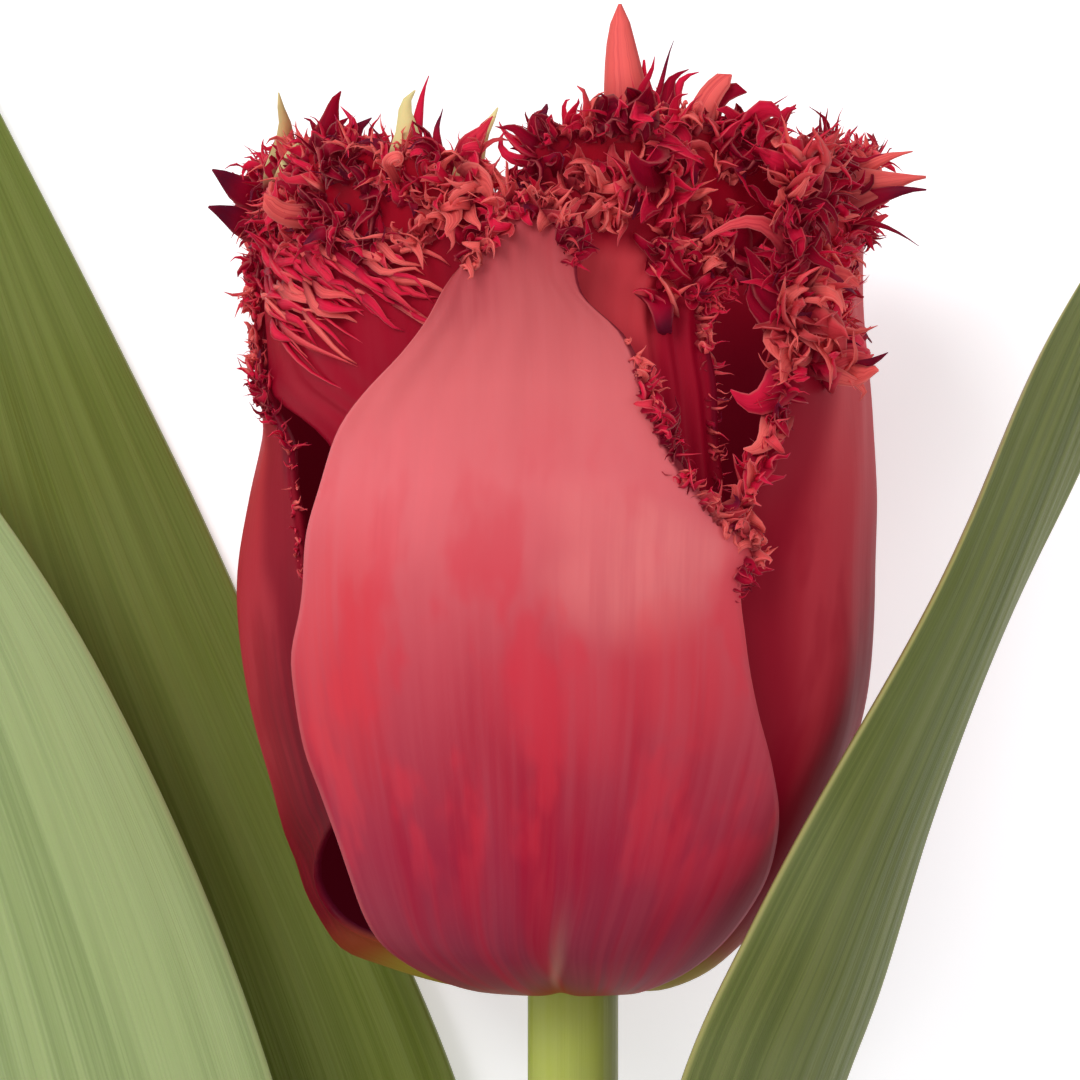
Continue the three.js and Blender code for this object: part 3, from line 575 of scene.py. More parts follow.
# %% Where each petal has fringe
# How large the fringe is against the way up each edge, and how far down the face its rows reach,
# against the place across. 1 is the crown's full size; an edge below its first place is smooth.
# Tones are spots (across, up) whose tufts are lighter or darker than the rest, by a share: painted
# shade where the crown lies deep, and painted highlights where it catches the light.
FRINGE = {
    "petal_outer_front": dict(
        left=[(0.965, 0.3), (1, 0.6)], tip=[(-1, 0.7), (1, 0.7)], face=[(-1, 0.955), (1, 0.955)],
        right=[
            (0.575, 0.2), (0.6, 0.5), (0.66, 0.6), (0.76, 0.6), (0.84, 0.4), (0.88, 0.1),
            (0.95, 0.1), (0.97, 0.6),
        ],
        tones=[(-0.5, 0.98, 0.4), (0.5, 0.98, 0.4)],
    ),
    "petal_outer_right": dict(
        left=[
            (0.46, 0.3), (0.58, 0.55), (0.66, 0.95), (0.72, 0.9), (0.78, 0.9), (0.86, 0.9),
            (0.92, 1.2),
        ],
        tip=[(-1, 1.25), (-0.8, 1.05), (-0.5, 0.6), (0, 0.6), (0.7, 0.9), (1, 1.2)],
        right=[(0.76, 0.4), (0.88, 1.3)],
        face=[(-1, 0.765), (-0.55, 0.775), (-0.45, 0.83), (-0.3, 0.9), (1, 0.93)],
        tones=[(-0.8, 0.83, 0.2), (-0.75, 0.95, -0.45), (-0.5, 0.9, -0.2)],
    ),
    "petal_outer_left": dict(
        left=[(0.76, 0.5), (0.9, 1)], tip=[(-1, 0.9), (1, 0.8)], face=[(-1, 0.87), (1, 0.87)],
        right=[(0.56, 0.25), (0.7, 0.3), (0.78, 0.4), (0.86, 0.7)],
        tones=[],
    ),
    "petal_inner_left": dict(
        left=[(0.6, 0.16), (0.9, 0.17), (0.925, 0.25), (0.945, 0.9)],
        right=[(0.84, 0.5), (0.9, 0.9)],
        tip=[(-1, 0.6), (-0.5, 0.8), (0.4, 0.75), (1, 0.8)],
        face=[(-1, 0.93), (-0.6, 0.91), (0, 0.9), (0.5, 0.89), (1, 0.89)],
        tones=[(-0.5, 0.955, -0.3), (0.26, 0.947, -0.6), (-0.12, 0.938, 0.3), (0.85, 0.94, 0.5)],
    ),
    "petal_inner_right": dict(
        left=[(0.86, 0.4), (0.93, 1)], tip=[(-1, 0.9), (-0.4, 1), (0.4, 0.9), (0.8, 1), (1, 1.2)],
        right=[(0.54, 0.3), (0.66, 0.5), (0.84, 0.55), (0.9, 0.9)],
        face=[(-1, 0.89), (-0.15, 0.9), (0, 0.9), (0.12, 0.87), (0.3, 0.83), (1, 0.825)],
        tones=[(0.75, 0.96, -0.5), (-0.82, 1.0, -0.3), (-0.8, 0.945, 0.5), (0.1, 0.93, 0.2)],
    ),
    "petal_inner_back": dict(
        left=[(0.8, 0.7), (0.88, 1.3)], tip=[(-1, 1.2), (-0.6, 0.9), (1, 0.9)],
        right=[(0.8, 0.5), (0.9, 1)], face=[(-1, 0.9), (1, 0.9)], tones=[],
    ),
}
FRINGE_LENGTH = 4.6  # mm, of a tooth where the size is 1
SMALLEST = 0.16  # no tufts where the size is less


def fringe_size(reach, up, across):
    if abs(across) < 1:
        return through(reach["tip"], across)
    return through(reach["left"] if across < 0 else reach["right"], up)


for name, reach in FRINGE.items():
    lowest = min(reach["left"][0][0], reach["right"][0][0])
    print(f"{name}: its fringe starts {lowest:.0%} of the way up")


# %% Kinds of teeth
def tooth_kind(*limits):
    """Each number of a kind is drawn between two limits, in this order: half the width, the
    thickness and the fold as shares of it, the taper, where less is blunter, the swelling of the
    belly and the crinkle."""
    return dict(zip(("width", "flatness", "fold", "point", "belly", "crinkle"), limits))


SPINE = tooth_kind((0.2, 0.38), (0.5, 0.9), (0, 0.2), (0.7, 1.1), (0, 0.2), (0, 0.4))
SHRED = tooth_kind((0.4, 0.8), (0.16, 0.3), (0.3, 1), (0.5, 0.9), (0, 0.6), (0.1, 0.7))
ROLLED = tooth_kind((0.4, 0.75), (0.3, 0.5), (0.4, 0.8), (0.3, 0.45), (0, 0.3), (0, 0.2))
LOBE = tooth_kind((0.9, 1.5), (0.14, 0.2), (0.4, 0.9), (0.4, 0.6), (0.2, 0.7), (0.2, 0.8))
SMALL_FRINGE = 0.45  # a size
ROLLED_SHARE, UP_TO_SHREDS = 0.12, 0.72


def any_way(rng):
    return Vector((rng.uniform(-1, 1), rng.uniform(-1, 1), rng.uniform(-1, 1)))


def grow_tooth(rng, kind, root, way, bend, off, up, length, curl, chance, size=1.0):
    """One tooth of a kind, with its own width, fold and twist."""
    way = way.normalized()
    bend = (bend - way * bend.dot(way)).normalized()
    drawn = {title: rng.uniform(*limits) for title, limits in kind.items()}
    drawn["width"] *= size
    return dict(
        drawn, line=arc_line(root, way, bend, length, curl), off=off, up=up,
        turn=rng.uniform(-0.7, 0.7), twist=rng.uniform(-1.2, 1.2), chance=chance, coiled=False,
    )


def any_kind(rng, size):
    """A kind of tooth and how far it curls: small fringe is all spines, large has broad lobes."""
    draw = rng.random()
    if size < SMALL_FRINGE:
        return SPINE, rng.uniform(0.1, 1.2)
    if draw < ROLLED_SHARE:
        return ROLLED, rng.uniform(2.6, 4.4)
    if draw < ROLLED_SHARE + 0.3 * smooth(0.9, 1.2, size):
        return LOBE, rng.uniform(0.8, 2.8)
    if draw < UP_TO_SHREDS:
        return SHRED, rng.uniform(0.3, 2.4)
    return SPINE, rng.uniform(0.1, 1.6)


# %% Tufts
TONE_SPREAD = (0.3, 0.035)  # how far a spot's tone reaches, across and up
# Places in the fringe's colours: wine red, crimson, between crimson and coral, coral, a coral tooth
# with a plum tip, and a cream one.
WINE, RED, MIXED, PLAIN, DARK, PALE = 0.1, 0.34, 0.54, 0.62, 0.9, 0.99
DARK_SHARE = 0.04
PLAIN_END = 0.82
EDGE_ROWS = 2
EDGE_SPACING, FACE_SPACING, FACE_ROW_SPACING = 1.7, 2.0, 1.6  # mm
FACE_TOP = 0.985
FACE_STOPS = 120


def tone(name, across, up):
    """How light the fringe is about a place: it has darker and lighter masses of a few tufts."""
    phase = PETALS[name]["seed"]
    light = 0.44 + 0.24 * math.sin(8 * across + 30 * up + phase)
    light += 0.2 * math.sin(15 * across - 44 * up + 2 * phase)
    # the spots lay painted shade and painted highlights on the fringe's masses
    for spot_across, spot_up, shift in FRINGE[name]["tones"]:
        far_across = (across - spot_across) / TONE_SPREAD[0]
        far_up = (up - spot_up) / TONE_SPREAD[1]
        light += shift * math.exp(-(far_across**2 + far_up**2))
    return light


def tuft(rng, root, way, run, off, up, size, light):
    """A few teeth that fan out of one spot, all of them about as light."""
    mood = min(max(light + rng.uniform(-0.2, 0.2), 0.02), 0.84)
    teeth = []
    for _ in range(rng.randint(3, 4) if size < SMALL_FRINGE else rng.randint(4, 7)):
        kind, curl = any_kind(rng, size)
        foot = root + run * rng.uniform(-0.9, 0.9) + off * rng.uniform(-0.2, 0.3)
        chance = min(max(mood + rng.uniform(-0.2, 0.2), 0), PLAIN_END)
        teeth.append(grow_tooth(
            rng, kind, foot, way.normalized() + any_way(rng) * 0.6, any_way(rng) + off * 0.5,
            off + run * rng.uniform(-0.7, 0.7), up, FRINGE_LENGTH * size * rng.uniform(0.45, 1.1),
            curl, DARK if rng.random() < DARK_SHARE else chance, size=mix(0.6, 1, min(size, 1)),
        ))
    return teeth


def lumps(petal, across, up):
    """A share of the length, about 0.65 in a dip and 1.25 in a high tuft."""
    phase = petal["seed"]
    large = 0.18 * math.sin(6.5 * across + 20 * up + phase)
    return 0.95 + large + 0.13 * math.sin(15 * across + 33 * up + 2 * phase)


def edge_teeth(name, rng):
    """Rows of tufts that stand out of a petal's free edge."""
    petal, reach = PETALS[name], FRINGE[name]
    teeth = []
    for row in range(EDGE_ROWS):
        places = free_edge(petal, reach["left"][0][0], reach["right"][0][0])
        for up, across, point, run, off, out in walk(petal, places, EDGE_SPACING, rng):
            size = fringe_size(reach, up, across)
            if size < SMALLEST or is_covered(name, up, across, margin=-1):
                continue
            way = out + off * rng.uniform(-0.4, 1.1) + run * rng.uniform(-0.8, 0.8)
            root = point - out * (0.3 + 0.4 * row)
            size *= lumps(petal, across, up)
            teeth += tuft(rng, root, way, run, off, up, size, tone(name, across, up))
    return teeth


def face_teeth(name, rng):
    """Rows of tufts that stand on the outer face, from the crown's foot to the tip."""
    petal, reach = PETALS[name], FRINGE[name]
    lowest = min(place for _, place in reach["face"])
    rows = max(int((1 - lowest) * petal["length"] / FACE_ROW_SPACING), 1)
    teeth = []
    for row in range(rows):
        foot = mix(lowest, FACE_TOP, (row + 0.5) / rows)
        places = [(foot, mix(-0.97, 0.97, k / FACE_STOPS)) for k in range(FACE_STOPS + 1)]
        for up, across, *_ in walk(petal, places, FACE_SPACING, rng):
            up = min(up + rng.uniform(-0.016, 0.016), 1)
            if up < through(reach["face"], across) or is_covered(name, up, across):
                continue
            point, along, side, off = frame_on(petal, up, across)
            way = along * rng.uniform(-0.4, 1.0) + off * rng.uniform(0.5, 1.1)
            way += side * rng.uniform(-0.9, 0.9)
            size = through(reach["tip"], across) * lumps(petal, across, up)
            teeth += tuft(rng, point, way, side, off, up, size, tone(name, across, up))
    return teeth


# %% Single large teeth
STRAIGHT = tooth_kind((1, 1), (0.24, 0.3), (0.4, 0.6), (0.95, 1.05), (0, 0), (0, 0.15))
BROAD = tooth_kind((1, 1), (0.2, 0.24), (0.5, 0.8), (0.6, 0.7), (0.1, 0.4), (0.2, 0.6))
SHARD = dict(STRAIGHT, point=(0.5, 0.52), fold=(0.2, 0.3))
BUD = tooth_kind((1, 1), (0.3, 0.36), (0.3, 0.5), (0.2, 0.25), (0, 0.1), (0, 0.1))
# kind, the way up and across of its root, where its tip is (right of the axis, along it, above it),
# half its width, its place in the fringe's colours, and how far it curls, in radians: less than 0
# bends it the other way, and more than COILED rolls it up
ACCENTS = {
    "petal_inner_right": [
        (SHARD, 0.98, -0.31, (3.4, 76.9, 20), 2.2, PLAIN, 0.05),
        (STRAIGHT, 0.98, -0.23, (5.3, 72.6, 20.5), 1.7, RED, 0.1),
        (STRAIGHT, 1.0, -0.17, (7.6, 74.2, 19), 0.4, DARK, 0.1),
        (BROAD, 1.0, -0.12, (8.4, 72.2, 19), 0.7, WINE, 0.2),
        (BROAD, 1.0, -0.08, (9.3, 72.0, 19), 0.6, RED, 0.3),
        (BUD, 0.99, 0.2, (12.0, 71.6, 19), 1.15, PLAIN, 0.9),
        (BUD, 0.99, 0.32, (13.2, 70.2, 19), 1.0, WINE, 2.4),
        (BROAD, 0.99, 0.58, (15.6, 69.6, 17), 1.1, WINE, 0.5),
        (BROAD, 0.99, 0.68, (17.2, 69.0, 16), 1.0, RED, 0.6),
        (BROAD, 0.99, -0.85, (-2.6, 69.2, 20), 1.1, DARK, 0.6),
        (BROAD, 0.98, -0.8, (-1.0, 67.6, 21), 0.9, DARK, 0.5),
        (BROAD, 0.97, -0.9, (-3.4, 67.0, 21), 0.8, DARK, 0.4),
    ],
    "petal_outer_right": [
        (STRAIGHT, 0.96, -0.45, (27.6, 64.4, 9), 2.0, PLAIN, 0.2),
        (STRAIGHT, 0.975, -0.4, (26.6, 66.6, 8), 1.0, PLAIN, 0.2),
        (STRAIGHT, 0.94, -0.4, (27.5, 63.3, 11), 1.3, DARK, 0.5),
        (BROAD, 0.9, -0.97, (9.8, 59.6, 24), 0.85, MIXED, -1.6),
        (BROAD, 0.84, -0.98, (13.0, 58.4, 20), 1.3, WINE, 0.4),
        (BROAD, 0.8, -0.98, (13.4, 55.6, 19), 1.2, WINE, 0.4),
        (BROAD, 0.9, 0.97, (15.6, 61.5, -19), 1.8, WINE, 0.3),
        (BROAD, 0.86, 0.97, (15.2, 58.5, -19.5), 1.8, WINE, 0.3),
        (STRAIGHT, 0.93, -0.45, (26.9, 58.9, 11), 0.45, DARK, 0.7),
        (STRAIGHT, 1.0, -0.5, (22.2, 68.4, 10), 0.4, DARK, 0.2),
        (BROAD, 1.0, -0.7, (20.4, 66.8, 14), 1.1, WINE, 0.4),
        (BROAD, 0.77, -0.99, (11.6, 47.2, 21), 1.5, RED, 1.2),
        (BROAD, 0.73, -0.99, (12.6, 43.4, 22), 1.3, PLAIN, 1.4),
        (BROAD, 0.69, -0.99, (12.4, 39.0, 22), 1.2, RED, 0.9),
    ],
    "petal_inner_back": [
        (BROAD, 0.93, -0.97, (18.6, 62, -16.5), 1.8, WINE, 0.3),
        (BROAD, 0.89, -0.97, (18.2, 59, -17), 1.8, WINE, 0.3),
    ],
    "petal_inner_left": [
        (BROAD, 0.97, -0.6, (-22.4, 70.8, 13), 1.1, PALE, 0.1),
        (BROAD, 0.97, -0.5, (-19.6, 67.4, 15), 1.0, PALE, 0.4),
        (BROAD, 1.0, -0.1, (-17.9, 70.6, 15), 1.1, WINE, 0.4),
        (BROAD, 0.99, 0.2, (-15.8, 68.6, 18), 0.9, DARK, 0.5),
        (BROAD, 0.98, 0.55, (-12.2, 70.4, 19), 1.2, PALE, 0.3),
        (STRAIGHT, 1.0, 0.6, (-11.2, 71.6, 18), 0.7, RED, 0.2),
        (STRAIGHT, 1.0, 0.75, (-10.2, 69.0, 19), 0.5, DARK, 0.3),
        (BROAD, 0.96, 0.9, (-6.0, 69.0, 21), 1.1, PALE, 0.2),
        (BROAD, 0.95, -0.9, (-29.0, 62.5, 3), 2.0, DARK, 0.3),
        (BROAD, 0.98, -0.9, (-28.6, 65.3, 5), 1.7, DARK, 0.5),
        (BUD, 0.935, 0.0, (-23.8, 63.0, 15), 1.1, PLAIN, 1.4),
        (BUD, 0.96, 0.55, (-14.2, 64.3, 24), 0.42, PLAIN, 5.2),
        (BROAD, 0.95, 0.8, (-9.4, 58.6, 26), 0.9, PLAIN, 0.5),
        (BROAD, 0.95, 0.92, (-7.4, 59.2, 26), 0.7, PLAIN, 0.4),
        (BROAD, 0.93, 0.7, (-11.2, 60.0, 25), 0.8, PLAIN, 0.6),
    ],
}
print(sum(len(teeth) for teeth in ACCENTS.values()), "large teeth are placed one by one")

# %% Teeth that reach for a spot or roll up
COILED = 3.0  # radians of curl
STALK_SHARE = 0.3  # of a rolled-up tooth that is its straight stalk
TIGHTENING = 0.35  # the share of its radius that the roll loses on its way


def coil_line(root, way, bend, stalk, radius, turn):
    """A straight stalk whose end is rolled up, tighter and tighter."""

    def line(s):
        angle = turn * max(s - STALK_SHARE, 0) / (1 - STALK_SHARE)
        tight = radius * (1 - TIGHTENING * angle / turn)
        start = root + way * (stalk * min(s / STALK_SHARE, 1))
        rise = radius - tight * math.cos(angle) if angle else 0
        return start + way * (tight * math.sin(angle)) + bend * rise

    return line


def accent_teeth(name, rng):
    """The large teeth of a petal, each aimed at its own tip. A coiled one rolls up beyond it."""
    petal = PETALS[name]
    teeth = []
    for kind, up, across, tip, width, chance, curl in ACCENTS.get(name, []):
        root = middle_of(petal, up, across)
        chord = Vector(tip) - root
        bend = Vector((chord.y, -chord.x, 0.3 * chord.length)).normalized()
        if curl < 0:
            bend, curl = -bend, -curl
        length = chord.length * (curl / 2) / math.sin(curl / 2)
        way = chord.normalized() * math.cos(curl / 2) - bend * math.sin(curl / 2)
        tooth = grow_tooth(
            rng, kind, root, way, bend, Vector((0, 0, 1)), up, length, curl, chance, size=width,
        )
        tooth["turn"], tooth["twist"] = 0, 0.4 * tooth["twist"]
        if curl > COILED:
            radius = 0.5 + 0.8 * width
            tooth["line"] = coil_line(root, chord.normalized(), bend, chord.length, radius, curl)
            tooth["off"] = bend * min(width, 1) + Vector((0, 0, 1))
            tooth["coiled"], tooth["twist"] = True, 0.3
        teeth.append(tooth)
    return teeth


# %% [markdown]
# ## Strands that lie on a face
# One inner petal's edge is turned outwards, so that its teeth are combed across its own face in
# long, slanting strands. Such a strand starts in a band under the crown, and follows the face at a
# small height, across it and a little down it.

# %% Strands
STRAND = tooth_kind((0.2, 0.48), (0.35, 0.6), (0, 0.3), (0.3, 0.6), (0.1, 0.5), (0, 0.9))
STRANDS = 84
COMBED_PETAL = "petal_inner_left"


def strand_line(petal, up, across, drop, sweep, lift):
    """A line over the outer face: sweep across it and drop down it, lifted a little off it."""

    def line(s):
        height = lift * math.sin(math.pi * min(0.15 + 0.8 * s, 1))
        return petal_point(petal, up - drop * s ** 1.2, across + sweep * s, -height)

    return line


def face_strands(name, rng):
    if name != COMBED_PETAL:
        return []
    petal = PETALS[name]
    teeth = []
    for _ in range(STRANDS):
        across = rng.uniform(-0.75, 0.55)
        up = rng.uniform(0.835 + 0.02 * across, 0.925)
        sweep = rng.uniform(0.1, 0.42) * (1.5 if across < -0.3 else 1)
        # its line and flat side are set below, so any directions do here
        way, bend, off = Vector((0, 1, 0)), Vector((1, 0, 0)), Vector((0, 0, 1))
        tooth = grow_tooth(
            rng, STRAND, Vector(), way, bend, off, up, 1, 0, rng.uniform(0.3, 0.74),
        )
        tooth["line"] = strand_line(
            petal, up, across, sweep * rng.uniform(0.02, 0.17), sweep, rng.uniform(0.3, 1.1)
        )
        tooth["off"] = frame_on(petal, up, across)[3]
        teeth.append(tooth)
    return teeth


# %% [markdown]
# ## Building the six petals
# A finished petal is one mesh: blade and teeth together, moved from the flower's own frame to the
# table in one step. Teeth near the table are kept just above it, as soft tissue would lie.

# %% Making pieces
TABLE_CLEARANCE = 0.02  # mm


def finish_piece(bm, node, slot, place=None):
    """Moves a mesh into place in metres, and makes it the piece that stands for a CAD node."""
    name = f"{node}_dressed"
    if place is not None:
        bmesh.ops.transform(bm, matrix=place, verts=bm.verts[:])
    for vert in bm.verts:
        vert.co.z = max(vert.co.z, TABLE_CLEARANCE)
    bmesh.ops.scale(bm, vec=(MM, MM, MM), verts=bm.verts[:])
    for face in bm.faces:
        face.smooth = True
    mesh = bpy.data.meshes.new(name)
    bm.to_mesh(mesh)
    bm.free()
    piece = bpy.data.objects.new(name, mesh)
    bpy.context.scene.collection.objects.link(piece)
    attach(piece, "root")
    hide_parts(node)
    triangles = sum(len(face.vertices) - 2 for face in mesh.polygons)
    print(f"{name}: {triangles} triangles")
    return piece


def make_petal(name):
    petal = PETALS[name]
    rng = random.Random(petal["seed"])
    bm = petal_blade(petal)
    teeth = edge_teeth(name, rng) + face_teeth(name, rng)
    teeth += accent_teeth(name, rng) + face_strands(name, rng)
    add_teeth(bm, [tooth for tooth in teeth if not tooth["coiled"]], plain_pattern)
    add_teeth(bm, [tooth for tooth in teeth if tooth["coiled"]], coil_pattern)
    print(name, "has", len(teeth), "teeth")
    slot = "petal_outer" if name.startswith("petal_outer") else "petal_inner"
    return finish_piece(bm, name, slot, flower_place)


petals = {name: make_petal(name) for name in PETALS}

# %% [markdown]
# ## The stem
# The stem is a soft round rod that sags from the flower's base to the table. A unit tube is cut
# into many rings, and each ring is set on the curve that the solid follows.

# %% Stem
STEM_LENGTH = 300
STEM_TOP_RADIUS = 3.65
STEM_FOOT_RADIUS = 4.2
STEM_FOOT_RIGHT = 6  # how far right of the flower the cut end lies
STEM_FACETS = 12  # the solid stem's sides: a flat one rests on the table
STEM_SIDES, STEM_RINGS = 40, 150
STEM_RIBS = 0.008
STEM_TOP_HANDLE = 0.36 * STEM_LENGTH
STEM_FOOT_HANDLE = Vector((-5, 0.3 * STEM_LENGTH, 3.2))
RECEPTACLE_RADIUS = 3.7  # the stem's top, which carries petals, stamens and pistil
RECEPTACLE_HEIGHT = 4.6
SEAT_GAP = 0.3  # mm between pieces that touch

stem_foot_height = STEM_FOOT_RADIUS * math.cos(math.pi / STEM_FACETS)
stem_foot = Vector((STEM_FOOT_RIGHT, flower_joint.y - STEM_LENGTH, stem_foot_height))
stem_handles = [
    flower_joint,
    flower_joint - flower_axis * STEM_TOP_HANDLE,
    stem_foot + STEM_FOOT_HANDLE,
    stem_foot,
]


def stem_curve(t):
    a, b, c, d = stem_handles
    return a * (1 - t) ** 3 + b * 3 * t * (1 - t) ** 2 + c * 3 * t * t * (1 - t) + d * t**3


stem_line, stem_length = by_length(stem_curve)


def direction_on(line, share, step=0.002):
    return (line(min(share + step, 1)) - line(max(share - step, 0))).normalized()


def stem_radius(share):
    return mix(STEM_TOP_RADIUS, STEM_FOOT_RADIUS, smooth(0, 1, share))


def make_stem():
    bm = new_skin()
    bm.from_mesh(tube_pattern(STEM_SIDES, STEM_RINGS))
    grown = bm.verts.layers.float_vector["grown"]
    neck = RECEPTACLE_HEIGHT / (stem_length + RECEPTACLE_HEIGHT)
    for vert in bm.verts:
        x, y, s = vert.co
        share = (s - neck) / (1 - neck)
        if share < 0:
            centre, along = flower_joint - flower_axis * (share * stem_length), flower_axis
            radius = mix(STEM_TOP_RADIUS, RECEPTACLE_RADIUS, smooth(0, 0.4, -share * 60))
        else:
            centre, along = stem_line(share), -direction_on(stem_line, share)
            radius = stem_radius(share)
        right = (Vector((1, 0, 0)) - along * along.x).normalized()
        above = right.cross(along)
        turn = math.atan2(y, x)
        rib = 1 - STEM_RIBS * (1 + math.sin(11 * turn + 6 * share))
        vert.co = centre + (right * math.cos(turn) + above * math.sin(turn)) * radius * rib
        vert[grown] = (turn / math.pi, share, 0)
    # the tube's faces look outwards as they are; recalculated on this long bend they'd look in
    return finish_piece(bm, "stem", "stem")


stem = make_stem()

# %% [markdown]
# ## The leaves
# A tulip leaf clasps the stem at its foot and opens into a long, shallow gutter that narrows to a
# point. Each leaf is the same closed sheet as a petal, laid round an arc along a smooth midrib.

# %% Leaf tables
LEAF_THICKNESS = 0.9
LEAF_THINNING = 0.3  # share of its thickness that a leaf loses at its edges
LEAF_WAVES = 17  # along a leaf's edges, in radians
LEAF_ROWS, LEAF_COLUMNS = 110, 44
CLASP_GAP = 0.42  # mm between the stem and the leaf that goes round it

# clasp is how far down the stem the leaf grows, as a share. points lead its midrib, and inner says
# which way the gutter opens, as (up, x, y, z). width is half the leaf's width round the gutter, and
# gutter the angle that each half is bent through, in degrees. wave is how high the edges wave.
LEAVES = {
    "leaf_right": dict(
        clasp=0.3, wave=0.5,
        points=[
            (5, -100, 22.6), (10.2, -70, 28), (16, -41.5, 33.3), (20.4, -30, 34.6),
            (25.2, -18, 33.6), (33.4, 0, 28), (41.5, 18, 16), (48.5, 35, 0.6),
        ],
        inner=[
            (0, -0.6, 0, -0.8), (0.3, -0.62, 0.2, -0.76), (0.5, -0.64, 0.3, -0.72),
            (0.7, -0.7, 0.35, -0.62), (0.86, -0.5, 0.1, -0.85), (1, -0.2, 0, -0.98),
        ],
        width=[
            (0, 7.2), (0.12, 8), (0.35, 9.4), (0.48, 9.2), (0.62, 7.2), (0.74, 5.8), (0.86, 4),
            (0.95, 2), (1, 0.8),
        ],
        gutter=[(0, 96), (0.12, 70), (0.3, 42), (0.6, 34), (1, 16)],
    ),
    "leaf_left": dict(
        clasp=0.42, wave=0.8,
        points=[
            (-8, -118, 8.6), (-12, -92, 4.4), (-18, -62, 1.3), (-28, -30, 0.55),
            (-41.5, 4, 0.52), (-51.5, 34, 0.55), (-60, 62, 1.2),
        ],
        inner=[(0, 0.8, 0, 0.6), (0.2, 0.5, 0, 0.85), (0.4, 0.1, 0, 1), (1, 0.05, 0, 1)],
        width=[
            (0, 7.4), (0.12, 9.5), (0.3, 13.4), (0.5, 14.6), (0.62, 12.4), (0.75, 10.8),
            (0.93, 4.2), (1, 0.8),
        ],
        gutter=[(0, 96), (0.12, 74), (0.3, 38), (0.5, 27), (1, 14)],
    ),
    "leaf_low": dict(
        clasp=0.6, wave=0.7,
        points=[
            (-10, -176, 15.5), (-16.5, -148, 16.2), (-23.6, -112, 15.4), (-30.8, -74, 13.6),
            (-39.5, -38, 12.4), (-53, 0, 10.6), (-67.5, 30, 4.6),
        ],
        inner=[
            (0, 0.86, 0, -0.5), (0.25, 0.72, 0, -0.7), (0.5, 0.5, 0, -0.86), (0.8, 0.42, 0, -0.9),
            (1, 0.1, 0, -1),
        ],
        width=[
            (0, 7.6), (0.12, 10), (0.35, 14.6), (0.6, 15.6), (0.82, 11.4), (0.95, 4.4), (1, 0.8),
        ],
        gutter=[(0, 96), (0.12, 72), (0.3, 46), (0.6, 34), (1, 18)],
    ),
}


def leaf_curve(points):
    """A centripetal Catmull-Rom spline, which doesn't swing out at its tight places."""
    ends = [points[0] * 2 - points[1], *points, points[-1] * 2 - points[-2]]

    def curve(t):
        place = t * (len(points) - 1)
        k = min(int(place), len(points) - 2)
        w = place - k
        a, b, c, d = ends[k : k + 4]
        ab, bc, cd = ((q - p).length ** 0.5 for p, q in ((a, b), (b, c), (c, d)))
        start = ((b - a) / ab - (c - a) / (ab + bc) + (c - b) / bc) * bc
        end = ((c - b) / bc - (d - b) / (bc + cd) + (d - c) / cd) * bc
        return (
            b + start * w + (3 * (c - b) - 2 * start - end) * w**2
            + (2 * (b - c) + start + end) * w**3
        )

    return curve


def leaf_shape(spec):
    """point(up, across, depth) of a leaf, in the table's frame."""
    radius = stem_radius(spec["clasp"])
    clasp_radius = radius + CLASP_GAP + LEAF_THICKNESS / 2

    def inner_at(up):
        rows = spec["inner"]
        ways = [through([(row[0], row[axis]) for row in rows], up) for axis in (1, 2, 3)]
        return Vector(ways).normalized()

    def thickness(up, across):
        return LEAF_THICKNESS * (1 - LEAF_THINNING * abs(across))

    start = stem_line(spec["clasp"]) - inner_at(0) * clasp_radius
    line, length = by_length(leaf_curve([start] + [Vector(point) for point in spec["points"]]))

    def point(up, across, depth):
        if up == 0:
            along = -direction_on(stem_line, spec["clasp"])
        else:
            along = direction_on(line, up, step=0.001)
        inner = inner_at(up)
        inner = (inner - along * inner.dot(along)).normalized()
        side = inner.cross(along)
        bend = math.radians(through(spec["gutter"], up))
        half = clasp_radius * bend if up == 0 else through(spec["width"], up)
        curve = half / bend
        ribs = 0.05 * math.sin(30 * across) * smooth(0.02, 0.2, up) * (1 - smooth(0.85, 1, up))
        reach = curve + thickness(up, across) / 2 - depth + ribs
        wave = spec["wave"] * math.sin(LEAF_WAVES * up + 1.3 * across)
        wave *= across * across * smooth(0.3, 0.6, up)
        return (
            line(up) + side * (reach * math.sin(across * bend))
            + inner * (curve - reach * math.cos(across * bend) + wave)
        )

    return point, thickness, length


def make_leaf(name):
    point, thickness, length = leaf_shape(LEAVES[name])
    print(f"{name}: {length:.0f} mm long")
    return finish_piece(blade(LEAF_ROWS, LEAF_COLUMNS, point, thickness), name, name)


leaves = {name: make_leaf(name) for name in LEAVES}

# %% [markdown]
# ## Pistil and stamens
# Inside the cup stand a three-sided pistil with a folded, three-lobed stigma and six stamens, each
# a tapering filament with a long anther tied to its tip. The pistil is spun from a profile and then
# pressed into three lobes; anthers are stretched spheres with a furrow down each side.

# %% Pistil
PISTIL_STEPS = 72
PISTIL_HEIGHT = 21
PISTIL_RADIUS = 3.1
STIGMA_RADIUS = 4.3
CENTRE_FOOT = RECEPTACLE_HEIGHT + SEAT_GAP
